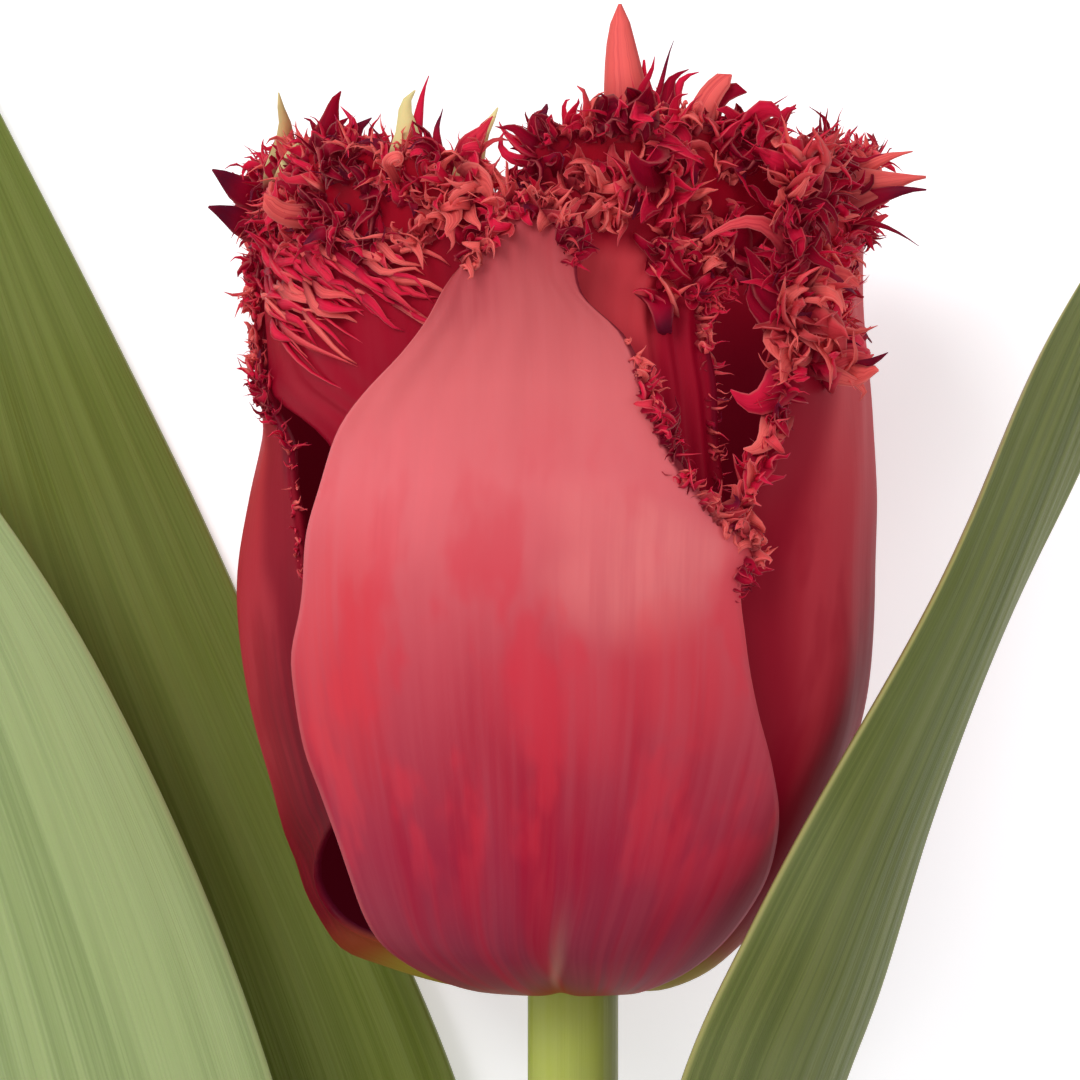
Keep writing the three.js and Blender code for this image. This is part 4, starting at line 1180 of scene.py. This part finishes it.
# Radius and height, in mm.
PISTIL_PROFILE = [
    (0.02, 0), (1.9, 0), (2.15, 0.7), (2.3, 1.5), (2.8, 3.5), (PISTIL_RADIUS, 6),
    (PISTIL_RADIUS, 10), (PISTIL_RADIUS, 14), (2.7, 16.4), (2.3, PISTIL_HEIGHT - 2.6),
    (2.7, PISTIL_HEIGHT - 1.9), (STIGMA_RADIUS - 0.8, PISTIL_HEIGHT - 1.2),
    (STIGMA_RADIUS - 0.1, PISTIL_HEIGHT - 0.5), (STIGMA_RADIUS, PISTIL_HEIGHT),
    (STIGMA_RADIUS - 0.5, PISTIL_HEIGHT + 0.6), (STIGMA_RADIUS - 1.4, PISTIL_HEIGHT + 0.9),
    (1.2, PISTIL_HEIGHT + 0.6), (0.02, PISTIL_HEIGHT + 0.3),
]


def make_pistil():
    bm = new_skin()
    grown = bm.verts.layers.float_vector["grown"]
    rail = [bm.verts.new((0, height, radius)) for radius, height in PISTIL_PROFILE]
    edges = [bm.edges.new(pair) for pair in zip(rail, rail[1:])]
    bmesh.ops.spin(
        bm, geom=rail + edges, cent=(0, 0, 0), axis=(0, 1, 0), angle=math.tau,
        steps=PISTIL_STEPS, use_merge=True,
    )
    bmesh.ops.remove_doubles(bm, verts=bm.verts[:], dist=0.01)
    for vert in bm.verts:
        x, y, z = vert.co
        turn = math.atan2(x, z)
        lobes = smooth(PISTIL_HEIGHT - 4, PISTIL_HEIGHT, y) * 0.26 + 0.07
        swell = 1 + lobes * math.cos(3 * turn)
        frill = 0.03 * math.sin(21 * turn) * smooth(PISTIL_HEIGHT - 1.5, PISTIL_HEIGHT, y)
        cleft = 0.9 * math.exp(-((math.hypot(x, z) / 2) ** 2))
        cleft *= smooth(PISTIL_HEIGHT, PISTIL_HEIGHT + 0.3, y)
        vert.co = (x * (swell + frill), y - cleft + CENTRE_FOOT, z * (swell + frill))
        vert[grown] = (turn / math.pi, y / PISTIL_HEIGHT, 0)
    bmesh.ops.recalc_face_normals(bm, faces=bm.faces[:])
    return finish_piece(bm, "pistil", "pistil", flower_place)


pistil = make_pistil()

# %% Stamens
STAMENS = 6
STAMEN_RING = 3.1  # mm from the pistil's axis to a filament's foot
STAMEN_TURN = 30  # degrees from the sky to a stamen next to it
FILAMENT_LENGTH = 9.5
FILAMENT_FOOT_RADIUS = 0.7
FILAMENT_TIP_RADIUS = 0.4
FILAMENT_LEAN = math.radians(17)  # away from the pistil
FILAMENT_SIDES, FILAMENT_RINGS = 14, 16
ANTHER_LENGTH = 12
ANTHER_WIDTH = 2.6
ANTHER_FLATNESS = 0.62  # its thickness against its width
ANTHER_CUTS = 28


def stamen_place(number):
    """Where a stamen stands: its own Y axis runs up the filament."""
    turn = Matrix.Rotation(math.radians(STAMEN_TURN + 360 / STAMENS * number), 4, "Y")
    foot = CENTRE_FOOT + FILAMENT_FOOT_RADIUS * math.sin(FILAMENT_LEAN)
    stand = Matrix.Translation((STAMEN_RING, foot, 0))
    return flower_place @ turn @ stand @ Matrix.Rotation(-FILAMENT_LEAN, 4, "Z")


def make_filament(number):
    bm = new_skin()
    bm.from_mesh(tube_pattern(FILAMENT_SIDES, FILAMENT_RINGS))
    grown = bm.verts.layers.float_vector["grown"]
    for vert in bm.verts:
        x, y, s = vert.co
        radius = mix(FILAMENT_FOOT_RADIUS, FILAMENT_TIP_RADIUS, s ** 0.8)
        vert.co = (x * radius, s * FILAMENT_LENGTH, y * radius)
        vert[grown] = (math.atan2(y, x) / math.pi, s, 0)
    bmesh.ops.recalc_face_normals(bm, faces=bm.faces[:])
    return finish_piece(bm, f"filament_{number}", "filament", stamen_place(number))


def make_anther(number):
    bm = new_skin()
    grown = bm.verts.layers.float_vector["grown"]
    bmesh.ops.create_uvsphere(bm, u_segments=ANTHER_CUTS, v_segments=ANTHER_CUTS, radius=1)
    for vert in bm.verts:
        x, y, z = vert.co
        turn, s = math.atan2(y, x), z
        full = (1 - s**4) ** 0.5 if abs(s) < 1 else 0
        ring = math.hypot(x, y)
        scale = full / ring if ring > 1e-4 else 0
        furrow = 1 - 0.2 * math.exp(-((math.sin(turn) - 1) ** 2) * 8) - 0.14 * math.cos(turn) ** 8
        vert.co = (
            x * scale * ANTHER_WIDTH / 2 * furrow,
            FILAMENT_LENGTH + SEAT_GAP + ANTHER_LENGTH / 2 * (1 + s),
            y * scale * ANTHER_WIDTH / 2 * ANTHER_FLATNESS * furrow,
        )
        vert[grown] = (turn / math.pi, (1 + s) / 2, 0)
    bmesh.ops.recalc_face_normals(bm, faces=bm.faces[:])
    return finish_piece(bm, f"anther_{number}", "anther", stamen_place(number))


filaments = [make_filament(number) for number in range(1, STAMENS + 1)]
anthers = [make_anther(number) for number in range(1, STAMENS + 1)]

# %% [markdown]
# ## Shared effects
# Petals, leaves and stem all have fine lengthwise streaks, because their veins run from root to
# tip. One shader group makes the streaks from the grown attribute: noise that is stretched along
# the blade. A second group makes the soft mottling of living skin in the object's own space, and a
# third a soft round spot about a place on a blade. A colour could be mixed in one long chain of
# nodes, but laid on in layers, each with its own mask, it reads like coats of paint.

# %% Node helpers
class Nodes:
    """A node tree, with a short call for each kind of node, and a colour laid on in layers."""

    def __init__(self, tree):
        self.tree = tree
        self.colour = None

    def feed(self, socket, value):
        """Gives a socket another node's output, a colour of three numbers or a plain value."""
        if isinstance(value, bpy.types.NodeSocket):
            self.tree.links.new(value, socket)
        elif socket.type == "RGBA":
            socket.default_value = (*value, 1)
        else:
            socket.default_value = value

    def add(self, kind, inputs=None, **settings):
        made = self.tree.nodes.new(f"ShaderNode{kind}")
        for title, value in settings.items():
            setattr(made, title, value)
        for title, value in (inputs or {}).items():
            self.feed(made.inputs[title], value)
        return made

    def group(self, group, **values):
        """The outputs of a shared group, placed with this material's own values."""
        inputs = {title.replace("_", " "): value for title, value in values.items()}
        return self.add("Group", inputs, node_tree=group).outputs

    def attribute(self, name, output="Fac"):
        return self.add("Attribute", attribute_name=name).outputs[output]

    def math(self, operation, *values):
        return self.add("Math", dict(enumerate(values)), operation=operation).outputs[0]

    def times(self, value, *shares):
        for share in shares:
            value = self.math("MULTIPLY", value, share)
        return value

    def span(self, value, low, high, start=0, end=1):
        """start below low and end above high of a value, with a soft step between."""
        limits = {"Value": value, "From Min": low, "From Max": high, "To Min": start, "To Max": end}
        return self.add("MapRange", limits, interpolation_type="SMOOTHSTEP").outputs["Result"]

    def band(self, value, low, high):
        """0 below low and 1 above high of a value, softly; low above high turns it round."""
        return self.span(value, high, low, 1, 0) if low > high else self.span(value, low, high)

    def tint(self, mask, first, second):
        """Mixes two colours by a mask."""
        inputs = {0: mask, 6: first, 7: second}
        return self.add("Mix", inputs, data_type="RGBA").outputs[2]

    def ramp(self, value, stops):
        """A colour for each value, from stops (place, colour)."""
        made = self.add("ValToRGB", {"Fac": value})
        elements = made.color_ramp.elements
        while len(elements) < len(stops):
            elements.new(0.5)
        for element, (place, colour) in zip(elements, stops):
            element.position = place
            element.color = (*colour, 1)
        return made.outputs["Color"]

    def layer(self, colour, mask, *shares):
        """Lays a colour on where the mask is 1, times any further masks or shares."""
        self.colour = self.tint(self.times(mask, *shares), self.colour, colour)


# %% Three groups
def new_group(name, inputs, outputs):
    """A group with a number for each input: its nodes, and the sockets of inputs and outputs."""
    group = bpy.data.node_groups.new(name, "ShaderNodeTree")
    for title, value in inputs.items():
        socket = group.interface.new_socket(title, in_out="INPUT", socket_type="NodeSocketFloat")
        socket.default_value = value
    for title, kind in outputs.items():
        group.interface.new_socket(title, in_out="OUTPUT", socket_type=f"NodeSocket{kind}")
    given = group.nodes.new("NodeGroupInput").outputs
    return Nodes(group), given, group.nodes.new("NodeGroupOutput").inputs


def make_streaks():
    nodes, given, result = new_group(
        "lengthwise_streaks",
        {"Across": 0, "Along": 0, "Count": 12, "Drift": 1.5, "Low": 0.4, "High": 0.62},
        {"Mask": "Float", "Height": "Float"},
    )
    place = nodes.add("CombineXYZ", {
        "X": nodes.times(given["Across"], given["Count"]),
        "Y": nodes.times(given["Along"], given["Drift"]),
    })
    inputs = {"Vector": place.outputs["Vector"], "Scale": 1, "Detail": 3, "Roughness": 0.6}
    noise = nodes.add("TexNoise", inputs, noise_dimensions="2D").outputs["Fac"]
    nodes.feed(result["Mask"], nodes.span(noise, given["Low"], given["High"]))
    nodes.feed(result["Height"], noise)
    return nodes.tree


def make_mottle():
    nodes, given, result = new_group(
        "soft_mottle", {"Size": 300, "Low": 0.4, "High": 0.65}, {"Mask": "Float"}
    )
    place = nodes.add("TexCoord").outputs["Object"]
    inputs = {"Vector": place, "Scale": given["Size"], "Detail": 4}
    noise = nodes.add("TexNoise", inputs).outputs["Fac"]
    nodes.feed(result["Mask"], nodes.span(noise, given["Low"], given["High"]))
    return nodes.tree


def make_spot():
    """1 at a spot's middle and 0 beyond its reach, both given as places on the blade."""
    middles, reaches = {"Middle Across": 0, "Middle Up": 0.5}, {"Reach Across": 1, "Reach Up": 1}
    nodes, given, result = new_group(
        "soft_spot", {"Across": 0, "Up": 0, **middles, **reaches}, {"Mask": "Float"}
    )
    far = []
    for axis in ("Across", "Up"):
        away = nodes.math("SUBTRACT", given[axis], given[f"Middle {axis}"])
        away = nodes.math("DIVIDE", away, given[f"Reach {axis}"])
        far.append(nodes.times(away, away))
    nodes.feed(result["Mask"], nodes.band(nodes.math("ADD", *far), 1.0, 0.0))
    return nodes.tree


streaks, mottling, soft_spot = make_streaks(), make_mottle(), make_spot()
print("shared effects:", ", ".join(group.name for group in bpy.data.node_groups))


# %% A material in layers
class Skin(Nodes):
    """A material: the inputs of its shader, and where each corner grew."""

    def __init__(self, name, **constants):
        self.material = bpy.data.materials.new(name)
        self.material.use_nodes = True
        super().__init__(self.material.node_tree)
        self.shader = self.tree.nodes["Principled BSDF"].inputs
        for title, value in constants.items():
            self.feed(self.shader[title.replace("_", " ")], value)
        self.across, self.up, self.out = self.add(
            "SeparateXYZ", {0: self.attribute("grown", "Vector")}
        ).outputs
        self.side = self.math("ABSOLUTE", self.across)

    def streaked(self, count, drift, low, high, across=None):
        """Streaks over the blade: so many across it, and their drift along it."""
        across = self.across if across is None else across
        return self.group(
            streaks, Across=across, Along=self.up, Count=count, Drift=drift, Low=low, High=high
        )

    def spot(self, middle, reach):
        """A soft round mask about a place (across, up) on the blade."""
        return self.group(
            soft_spot, Across=self.across, Up=self.up, Middle_Across=middle[0],
            Middle_Up=middle[1], Reach_Across=reach[0], Reach_Up=reach[1],
        )["Mask"]

    def finish(self, height, distance, strength, rough=None):
        """Joins the colour, a fine relief and a changing roughness to the shader."""
        bump = self.add("Bump", {"Height": height, "Distance": distance, "Strength": strength})
        self.feed(self.shader["Base Color"], self.colour)
        self.feed(self.shader["Normal"], bump.outputs["Normal"])
        if rough is not None:
            self.feed(self.shader["Roughness"], rough)
        return self.material


# %% [markdown]
# ## Petal colour
# A petal runs from olive at the very root over purple and crimson to a lighter rose, with fine
# lengthwise streaks and a satin sheen; in places painted shade and painted highlights lie on it.
# The fringe has colours of its own, from wine red over crimson to coral, with a few plum-black
# points and
# a few cream ones: the chance attribute says which. Painted shade darkens each tooth towards its
# root, and a painted highlight lightens its edges. Thin petals let light through, and a faint
# painted glow, an emission, lifts them in their shadows.

# %% Colours of a petal
OLIVE = (0.26, 0.22, 0.025)
BROWN = (0.22, 0.05, 0.012)
PALE_GREEN = (0.5, 0.32, 0.24)
PLUM = (0.075, 0.006, 0.022)
WINE_RED = (0.09, 0.0, 0.008)
DEEP_CRIMSON = (0.18, 0.0, 0.009)
FRINGE_DEEP = (0.36, 0.002, 0.022)
CRIMSON = (0.66, 0.012, 0.05)
CORAL = (0.82, 0.13, 0.115)
LIT_RIM = (0.85, 0.3, 0.26)
LIT_FOLD = (0.56, 0.05, 0.06)
CREAM = (0.78, 0.66, 0.3)
SHREDS = [
    (0.0, WINE_RED), (0.2, FRINGE_DEEP), (0.36, CRIMSON), (0.48, CRIMSON), (0.6, CORAL),
    (0.78, CORAL), (0.84, FRINGE_DEEP),
]
INNER_FACE = [
    (0.0, (0.05, 0.04, 0.02)), (0.12, (0.02, 0.005, 0.014)), (0.3, (0.035, 0.003, 0.012)),
    (0.4, (0.09, 0.001, 0.005)), (0.8, (0.1, 0.001, 0.006)), (1.0, (0.26, 0.003, 0.01)),
]
# the strength of the petals' painted glow, a faint emission
PAINTED_GLOW = 0.03


# %% The fringe's group
def make_fringe():
    """The fringe's colour from the root of each tooth to its tip, and where there is fringe."""
    nodes, given, result = new_group(
        "fringe_colours", {"Chance": 0, "Stripe": 0, "Side": 0, "Out": 0},
        {"Colour": "Color", "Mask": "Float"},
    )
    band, chance, out = nodes.band, given["Chance"], given["Out"]
    nodes.colour = nodes.ramp(chance, SHREDS)
    nodes.layer(FRINGE_DEEP, given["Stripe"], 0.4)
    # a painted highlight along each tooth's edges
    nodes.layer(LIT_RIM, band(given["Side"], 0.7, 0.95), 0.22)
    # painted shade: each tooth darkens towards its root, deep in the fringe
    nodes.layer(WINE_RED, band(out, 0.6, 0.05), 0.75)
    dark = nodes.times(band(chance, 0.84, 0.86), band(chance, 0.965, 0.96))
    nodes.layer(PLUM, dark, band(out, 0.3, 0.8))
    nodes.layer(CREAM, band(chance, 0.982, 0.985), band(out, 0.1, 0.4))
    nodes.feed(result["Colour"], nodes.colour)
    nodes.feed(result["Mask"], band(out, 0.0, 0.12))
    return nodes.tree


fringe_colours = make_fringe()


# %% Petal materials
def petal_material(
    name, stops, streak, streak_share, bloom, blush, border, foot, lit_fold, patches=(),
):
    # a faint red emission is a painted glow that lifts the petals' shadows
    skin = Skin(
        name, Subsurface_Weight=0.1, Subsurface_Scale=0.0012, Subsurface_Radius=(1.0, 0.25, 0.2),
        Specular_IOR_Level=0.05, Emission_Color=(1.0, 0.01, 0.07), Emission_Strength=PAINTED_GLOW,
    )
    band, times, up, across = skin.band, skin.times, skin.up, skin.across
    vein = skin.attribute("vein")
    broad = skin.streaked(4.2, 1.3, 0.42, 0.68, vein)
    fine = skin.streaked(17.0, 2.2, 0.35, 0.7, vein)
    flecks = skin.streaked(3.6, 5.5, 0.46, 0.66, vein)
    skin.colour = skin.ramp(up, stops)
    skin.layer(streak, broad["Mask"], band(up, 0.62, 0.34), streak_share)
    skin.layer(bloom, fine["Mask"], 0.045)
    skin.layer(blush, flecks["Mask"], band(up, 0.84, 0.55), band(up, 0.18, 0.38), 0.5)
    # the pale groove up the middle of the foot
    skin.layer(PALE_GREEN, band(skin.side, 0.07, 0.0), band(up, 0.27, 0.08), 0.4)
    # painted shade: deep crimson borders where the edges pass under a neighbour, wider on the left
    low = times(band(across, 0.45, 0.6), band(up, 0.4, 0.3))
    deep = skin.math("MAXIMUM", band(across, -0.62, -0.8), band(across, 0.76, 0.86))
    skin.layer(DEEP_CRIMSON, skin.math("MAXIMUM", deep, low), border)
    for middle, reach, share, colour in patches:
        grain = skin.math("MULTIPLY_ADD", fine["Mask"], -0.5 * share, share)
        skin.layer(colour, skin.spot(middle, reach), grain)
    # the foot: brown, then olive
    skin.layer(BROWN, band(up, foot + 0.06, foot - 0.01))
    skin.layer(OLIVE, band(up, foot + 0.01, foot - 0.05))
    # a painted highlight along the left edge, and a painted shadow line along the upper right one
    skin.layer(bloom, band(across, -0.965, -1.0), band(up, 0.1, 0.25), 0.3 * (1 - border))
    skin.layer(WINE_RED, band(across, 0.93, 0.965), band(up, 0.66, 0.72), 0.85)
    # one fold of an inner petal is in the light
    fold = times(band(vein, 0.0, 0.1), band(vein, 0.42, 0.3))
    skin.layer(LIT_FOLD, fold, band(up, 0.74, 0.82), band(up, 0.895, 0.865), lit_fold)
    # the inner face: painted shade, darker all over for the dim inside of the cup and darkest near
    # its foot
    skin.layer(skin.ramp(up, INNER_FACE), skin.attribute("inside"))
    fringe = skin.group(
        fringe_colours, Chance=skin.attribute("chance"), Stripe=broad["Mask"], Side=skin.side,
        Out=skin.out,
    )
    skin.layer(fringe["Colour"], fringe["Mask"])
    rough = skin.math("MULTIPLY_ADD", fine["Height"], 0.2, 0.38)
    return skin.finish(fine["Height"], 0.0003, 0.06, rough)


# %% The three petal colours
# stops run up the petal; bloom is the palest grain and blush the flecks over the middle; border
# is the strength of the painted shade along the borders, foot how far up the brown and olive reach,
# and lit_fold how bright the fold is. bloom is also laid on as a painted highlight along the left
# edge. A patch has its middle and its reach (across, up), a strength and a colour.
front_red = petal_material(
    "petal_front_satin", foot=0.045, border=0, lit_fold=0, streak=(0.34, 0.002, 0.022),
    streak_share=0.7, bloom=(0.75, 0.2, 0.22), blush=(0.6, 0.03, 0.05),
    # the stops darken towards the tip: painted shade where the fringe hangs over it
    stops=[
        (0.0, OLIVE), (0.06, (0.16, 0.06, 0.055)), (0.16, (0.2, 0.023, 0.045)),
        (0.3, (0.3, 0.019, 0.045)), (0.5, (0.47, 0.057, 0.078)), (0.7, (0.66, 0.13, 0.145)),
        (0.8, (0.63, 0.13, 0.138)), (0.9, (0.48, 0.09, 0.096)), (1.0, (0.33, 0.03, 0.04)),
    ],
    patches=[
        # a painted highlight on the bulge right of the middle
        ((0.52, 0.62), (0.46, 0.11), 0.36, (0.86, 0.28, 0.26)),
        ((0.68, 0.5), (0.34, 0.1), 0.42, (0.6, 0.03, 0.045)),
        ((-0.75, 0.53), (0.35, 0.2), 0.5, (0.64, 0.045, 0.055)),
        ((0.2, 0.47), (0.35, 0.1), 0.4, (0.62, 0.035, 0.055)),
        # painted shade at the top left under the crown, then a painted highlight on the upper left
        ((-0.5, 0.92), (0.6, 0.07), 0.4, (0.36, 0.045, 0.06)),
        ((-0.55, 0.7), (0.4, 0.12), 0.3, (0.8, 0.17, 0.19)),
        ((0.75, 0.16), (0.3, 0.1), 0.35, (0.34, 0.04, 0.09)),
    ],
)
# the side petals are darker than the front one: partly their own deeper colour, partly painted
# shade as they turn from the light
side_red = petal_material(
    "petal_side_satin", foot=0.15, border=0.8, lit_fold=0, streak=(0.22, 0.003, 0.012),
    streak_share=0.6, bloom=(0.4, 0.1, 0.12), blush=(0.24, 0.004, 0.014),
    stops=[
        (0.0, OLIVE), (0.06, (0.14, 0.02, 0.03)), (0.16, (0.18, 0.012, 0.02)),
        (0.3, (0.3, 0.022, 0.03)), (0.6, (0.36, 0.02, 0.032)), (0.85, (0.4, 0.024, 0.03)),
        (1.0, (0.28, 0.003, 0.01)),
    ],
    # painted shade in the crevice where the left petal's right edge meets the front petal
    patches=[((1.05, 0.3), (0.55, 0.36), 0.9, (0.065, 0.0, 0.005))],
)
# the inner petals are darker still: partly their own colour, partly painted shade deep in the cup
inner_red = petal_material(
    "petal_inner_satin", foot=0.08, border=0.5, lit_fold=0.85, streak=(0.14, 0.002, 0.008),
    streak_share=0.5, bloom=(0.4, 0.05, 0.07), blush=(0.2, 0.002, 0.012),
    stops=[
        (0.0, OLIVE), (0.1, (0.15, 0.01, 0.02)), (0.5, (0.24, 0.003, 0.014)),
        (0.8, (0.28, 0.003, 0.016)), (1.0, (0.28, 0.001, 0.008)),
    ],
)
for name, piece in petals.items():
    side_or_inner = side_red if name.startswith("petal_outer") else inner_red
    piece.data.materials.append(front_red if name == "petal_outer_front" else side_or_inner)
    print(name, "wears", piece.data.materials[0].name)

# %% [markdown]
# ## Leaf and stem colour
# Leaves are waxy, with close parallel veins, a grey bloom and a thin pale edge. The stem is paler
# and smoother, with painted shade that makes one flank a deeper green.

# %% Leaf and stem materials
WAX_GREY = (0.36, 0.42, 0.26)


def leaf_material(name, dark, light, edge, edge_share, bloom):
    skin = Skin(
        name, Subsurface_Weight=0.08, Subsurface_Scale=0.002, Subsurface_Radius=(0.4, 1.0, 0.2),
        Specular_IOR_Level=0.15,
    )
    fine = skin.streaked(38.0, 3.0, 0.35, 0.65)
    mottle = skin.group(mottling, Size=60.0, Low=0.35, High=0.7)["Mask"]
    skin.colour = skin.tint(skin.streaked(5.0, 2.0, 0.38, 0.66)["Mask"], dark, light)
    skin.layer(tuple(min(value * 1.25, 1) for value in light), fine["Mask"], 0.3)
    skin.layer(WAX_GREY, mottle, bloom)
    skin.layer(edge, skin.band(skin.side, 0.95, 0.995), edge_share)
    rough = skin.math("MULTIPLY_ADD", mottle, 0.16, 0.36)
    return skin.finish(fine["Height"], 0.0005, 0.3, rough)


def stem_material():
    skin = Skin(
        "stem_skin", Roughness=0.4, Subsurface_Weight=0.15, Subsurface_Scale=0.003,
        Subsurface_Radius=(0.6, 1.0, 0.2), Specular_IOR_Level=0.2,
    )
    fine = skin.streaked(20.0, 8.0, 0.35, 0.68)
    skin.colour = skin.ramp(skin.up, [
        (0.0, (0.44, 0.48, 0.085)), (0.12, (0.34, 0.41, 0.085)), (0.5, (0.2, 0.29, 0.07)),
        (1.0, (0.24, 0.32, 0.1)),
    ])
    skin.layer((0.47, 0.51, 0.12), fine["Mask"], 0.35)
    mottle = skin.group(mottling, Size=220.0, Low=0.35, High=0.7)
    skin.layer((0.4, 0.44, 0.2), mottle["Mask"], 0.15)
    # painted shade: the flank turned from the key light is a deeper green than the back
    skin.layer((0.15, 0.155, 0.035), skin.band(skin.across, 0.42, 0.12), 0.8)
    return skin.finish(fine["Height"], 0.0003, 0.2)


# Each leaf's two greens, its edge's colour and strength, and how much grey bloom it has.
LEAF_PAINT = {
    "leaf_right": ((0.09, 0.108, 0.022), (0.14, 0.155, 0.04), (0.4, 0.36, 0.13), 0.8, 0.08),
    "leaf_left": ((0.13, 0.158, 0.024), (0.168, 0.198, 0.04), (0.26, 0.29, 0.08), 0.4, 0.03),
    "leaf_low": ((0.23, 0.29, 0.11), (0.31, 0.375, 0.155), (0.44, 0.48, 0.22), 0.6, 0.1),
}
for name, piece in leaves.items():
    piece.data.materials.append(leaf_material(f"{name}_wax", *LEAF_PAINT[name]))
stem.data.materials.append(stem_material())
print("leaves and stem wear", ", ".join(f"{name}_wax" for name in leaves), "and stem_skin")


# %% Heart of the flower
def heart_material(name, stops, roughness, bump):
    skin = Skin(name, Roughness=roughness)
    mottle = skin.group(mottling, Size=1800.0, Low=0.4, High=0.6)["Mask"]
    skin.colour = skin.ramp(skin.up, stops)
    darker = tuple(value * 0.6 for value in stops[0][1])
    skin.layer(darker, skin.streaked(8.0, 3.0, 0.35, 0.65)["Mask"], 0.25)
    return skin.finish(mottle, 0.0003, bump)


PISTIL_COLOURS = [
    (0.0, (0.5, 0.56, 0.24)), (0.8, (0.45, 0.52, 0.2)), (0.9, (0.7, 0.68, 0.36)),
    (1.0, (0.76, 0.72, 0.42)),
]
FILAMENT_COLOURS = [(0.0, (0.1, 0.04, 0.12)), (0.4, (0.3, 0.2, 0.3)), (1.0, (0.6, 0.6, 0.35))]
ANTHER_COLOURS = [(0.0, (0.03, 0.012, 0.035)), (1.0, (0.045, 0.02, 0.05))]
for pieces, material in (
    ([pistil], heart_material("pistil_skin", PISTIL_COLOURS, 0.5, 0.2)),
    (filaments, heart_material("filament_skin", FILAMENT_COLOURS, 0.5, 0.15)),
    (anthers, heart_material("anther_dust", ANTHER_COLOURS, 0.85, 0.8)),
):
    for piece in pieces:
        piece.data.materials.append(material)
    print(len(pieces), "with", material.name)

# %% [markdown]
# ## Table, light and camera
# The flower lies on a plain pale light table, which glows a little, so that no hard shadow shows,
# under soft studio light: a wide softbox above and to the upper left, a weaker one on the right,
# and a pale surround. The camera looks straight down on the flower's axis, so the cup shows from
# its side.

# %% Table
TABLE_GLOW = 0.47
TABLE_REACH = 3  # metres from the flower to the table's edge
TABLE_DROP = 0.0001  # metres, so that nothing lies in the table's own plane


def make_table():
    bm = bmesh.new()
    bmesh.ops.create_grid(bm, x_segments=8, y_segments=8, size=TABLE_REACH)
    mesh = bpy.data.meshes.new("table")
    bm.to_mesh(mesh)
    bm.free()
    table = bpy.data.objects.new("table", mesh)
    table.location.z = -TABLE_DROP
    bpy.context.scene.collection.objects.link(table)
    material = bpy.data.materials.new("table_white")
    material.use_nodes = True
    shader = material.node_tree.nodes["Principled BSDF"].inputs
    shader["Base Color"].default_value = (0.86, 0.86, 0.88, 1)
    shader["Roughness"].default_value = 0.6
    shader["Emission Color"].default_value = (1, 1, 1, 1)
    shader["Emission Strength"].default_value = TABLE_GLOW
    mesh.materials.append(material)
    table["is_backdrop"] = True
    print(f"the table glows with a strength of {TABLE_GLOW}")


make_table()

# %% Light
HEART_OF_CUP = Vector((0, 0.005, 0.022))  # metres, as are the lamps' places and size
SOFTBOX_SIZE = 0.8


def softbox(name, place, power):
    """A square lamp, aimed at the heart of the cup."""
    light = bpy.data.lights.new(name, "AREA")
    light.shape = "RECTANGLE"
    light.size = light.size_y = SOFTBOX_SIZE
    light.energy = power
    lamp = bpy.data.objects.new(name, light)
    lamp.location = place
    lamp.rotation_euler = (HEART_OF_CUP - Vector(place)).to_track_quat("-Z", "Y").to_euler()
    bpy.context.scene.collection.objects.link(lamp)
    print(f"the {name} light has {power} W")


softbox("key", (-0.72, 0.72, 1.3), 15)
softbox("fill", (0.9, -0.3, 1.2), 3)
world = bpy.data.worlds.new("surround")
world.use_nodes = True
background = world.node_tree.nodes["Background"].inputs
background["Color"].default_value = (0.97, 0.98, 1.0, 1)
background["Strength"].default_value = 0.6
bpy.context.scene.world = world
bpy.context.scene.view_settings.view_transform = "Standard"

# %% Camera
FRAME_PIXELS = 1080
MM_PER_PIXEL = 0.08
BASE_PIXEL = (573, 990)  # where the flower joins its stem, in the frame
LENS = 180
SENSOR = 36
frame_width = FRAME_PIXELS * MM_PER_PIXEL
camera_distance = frame_width * LENS / SENSOR
aim = flower_joint + Vector(((FRAME_PIXELS / 2 - BASE_PIXEL[0]) * MM_PER_PIXEL, 0, 0))
aim += flower_axis * ((BASE_PIXEL[1] - FRAME_PIXELS / 2) * MM_PER_PIXEL)
sky = Vector((0, -tilt_sine, tilt_cosine))
camera_data = bpy.data.cameras.new("camera")
camera_data.lens, camera_data.sensor_width = LENS, SENSOR
camera_data.clip_start, camera_data.clip_end = 0.01, 20
camera = bpy.data.objects.new("camera", camera_data)
camera.location = (aim + sky * camera_distance) * MM
camera.rotation_euler = (FLOWER_TILT, 0, 0)
bpy.context.scene.collection.objects.link(camera)
bpy.context.scene.camera = camera
print(f"the camera is {camera_distance:.0f} mm above the flower's axis")

# %% Print the sizes
visual_box = plain_box(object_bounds())
print("the pieces reach from", visual_box[0], "to", visual_box[1])
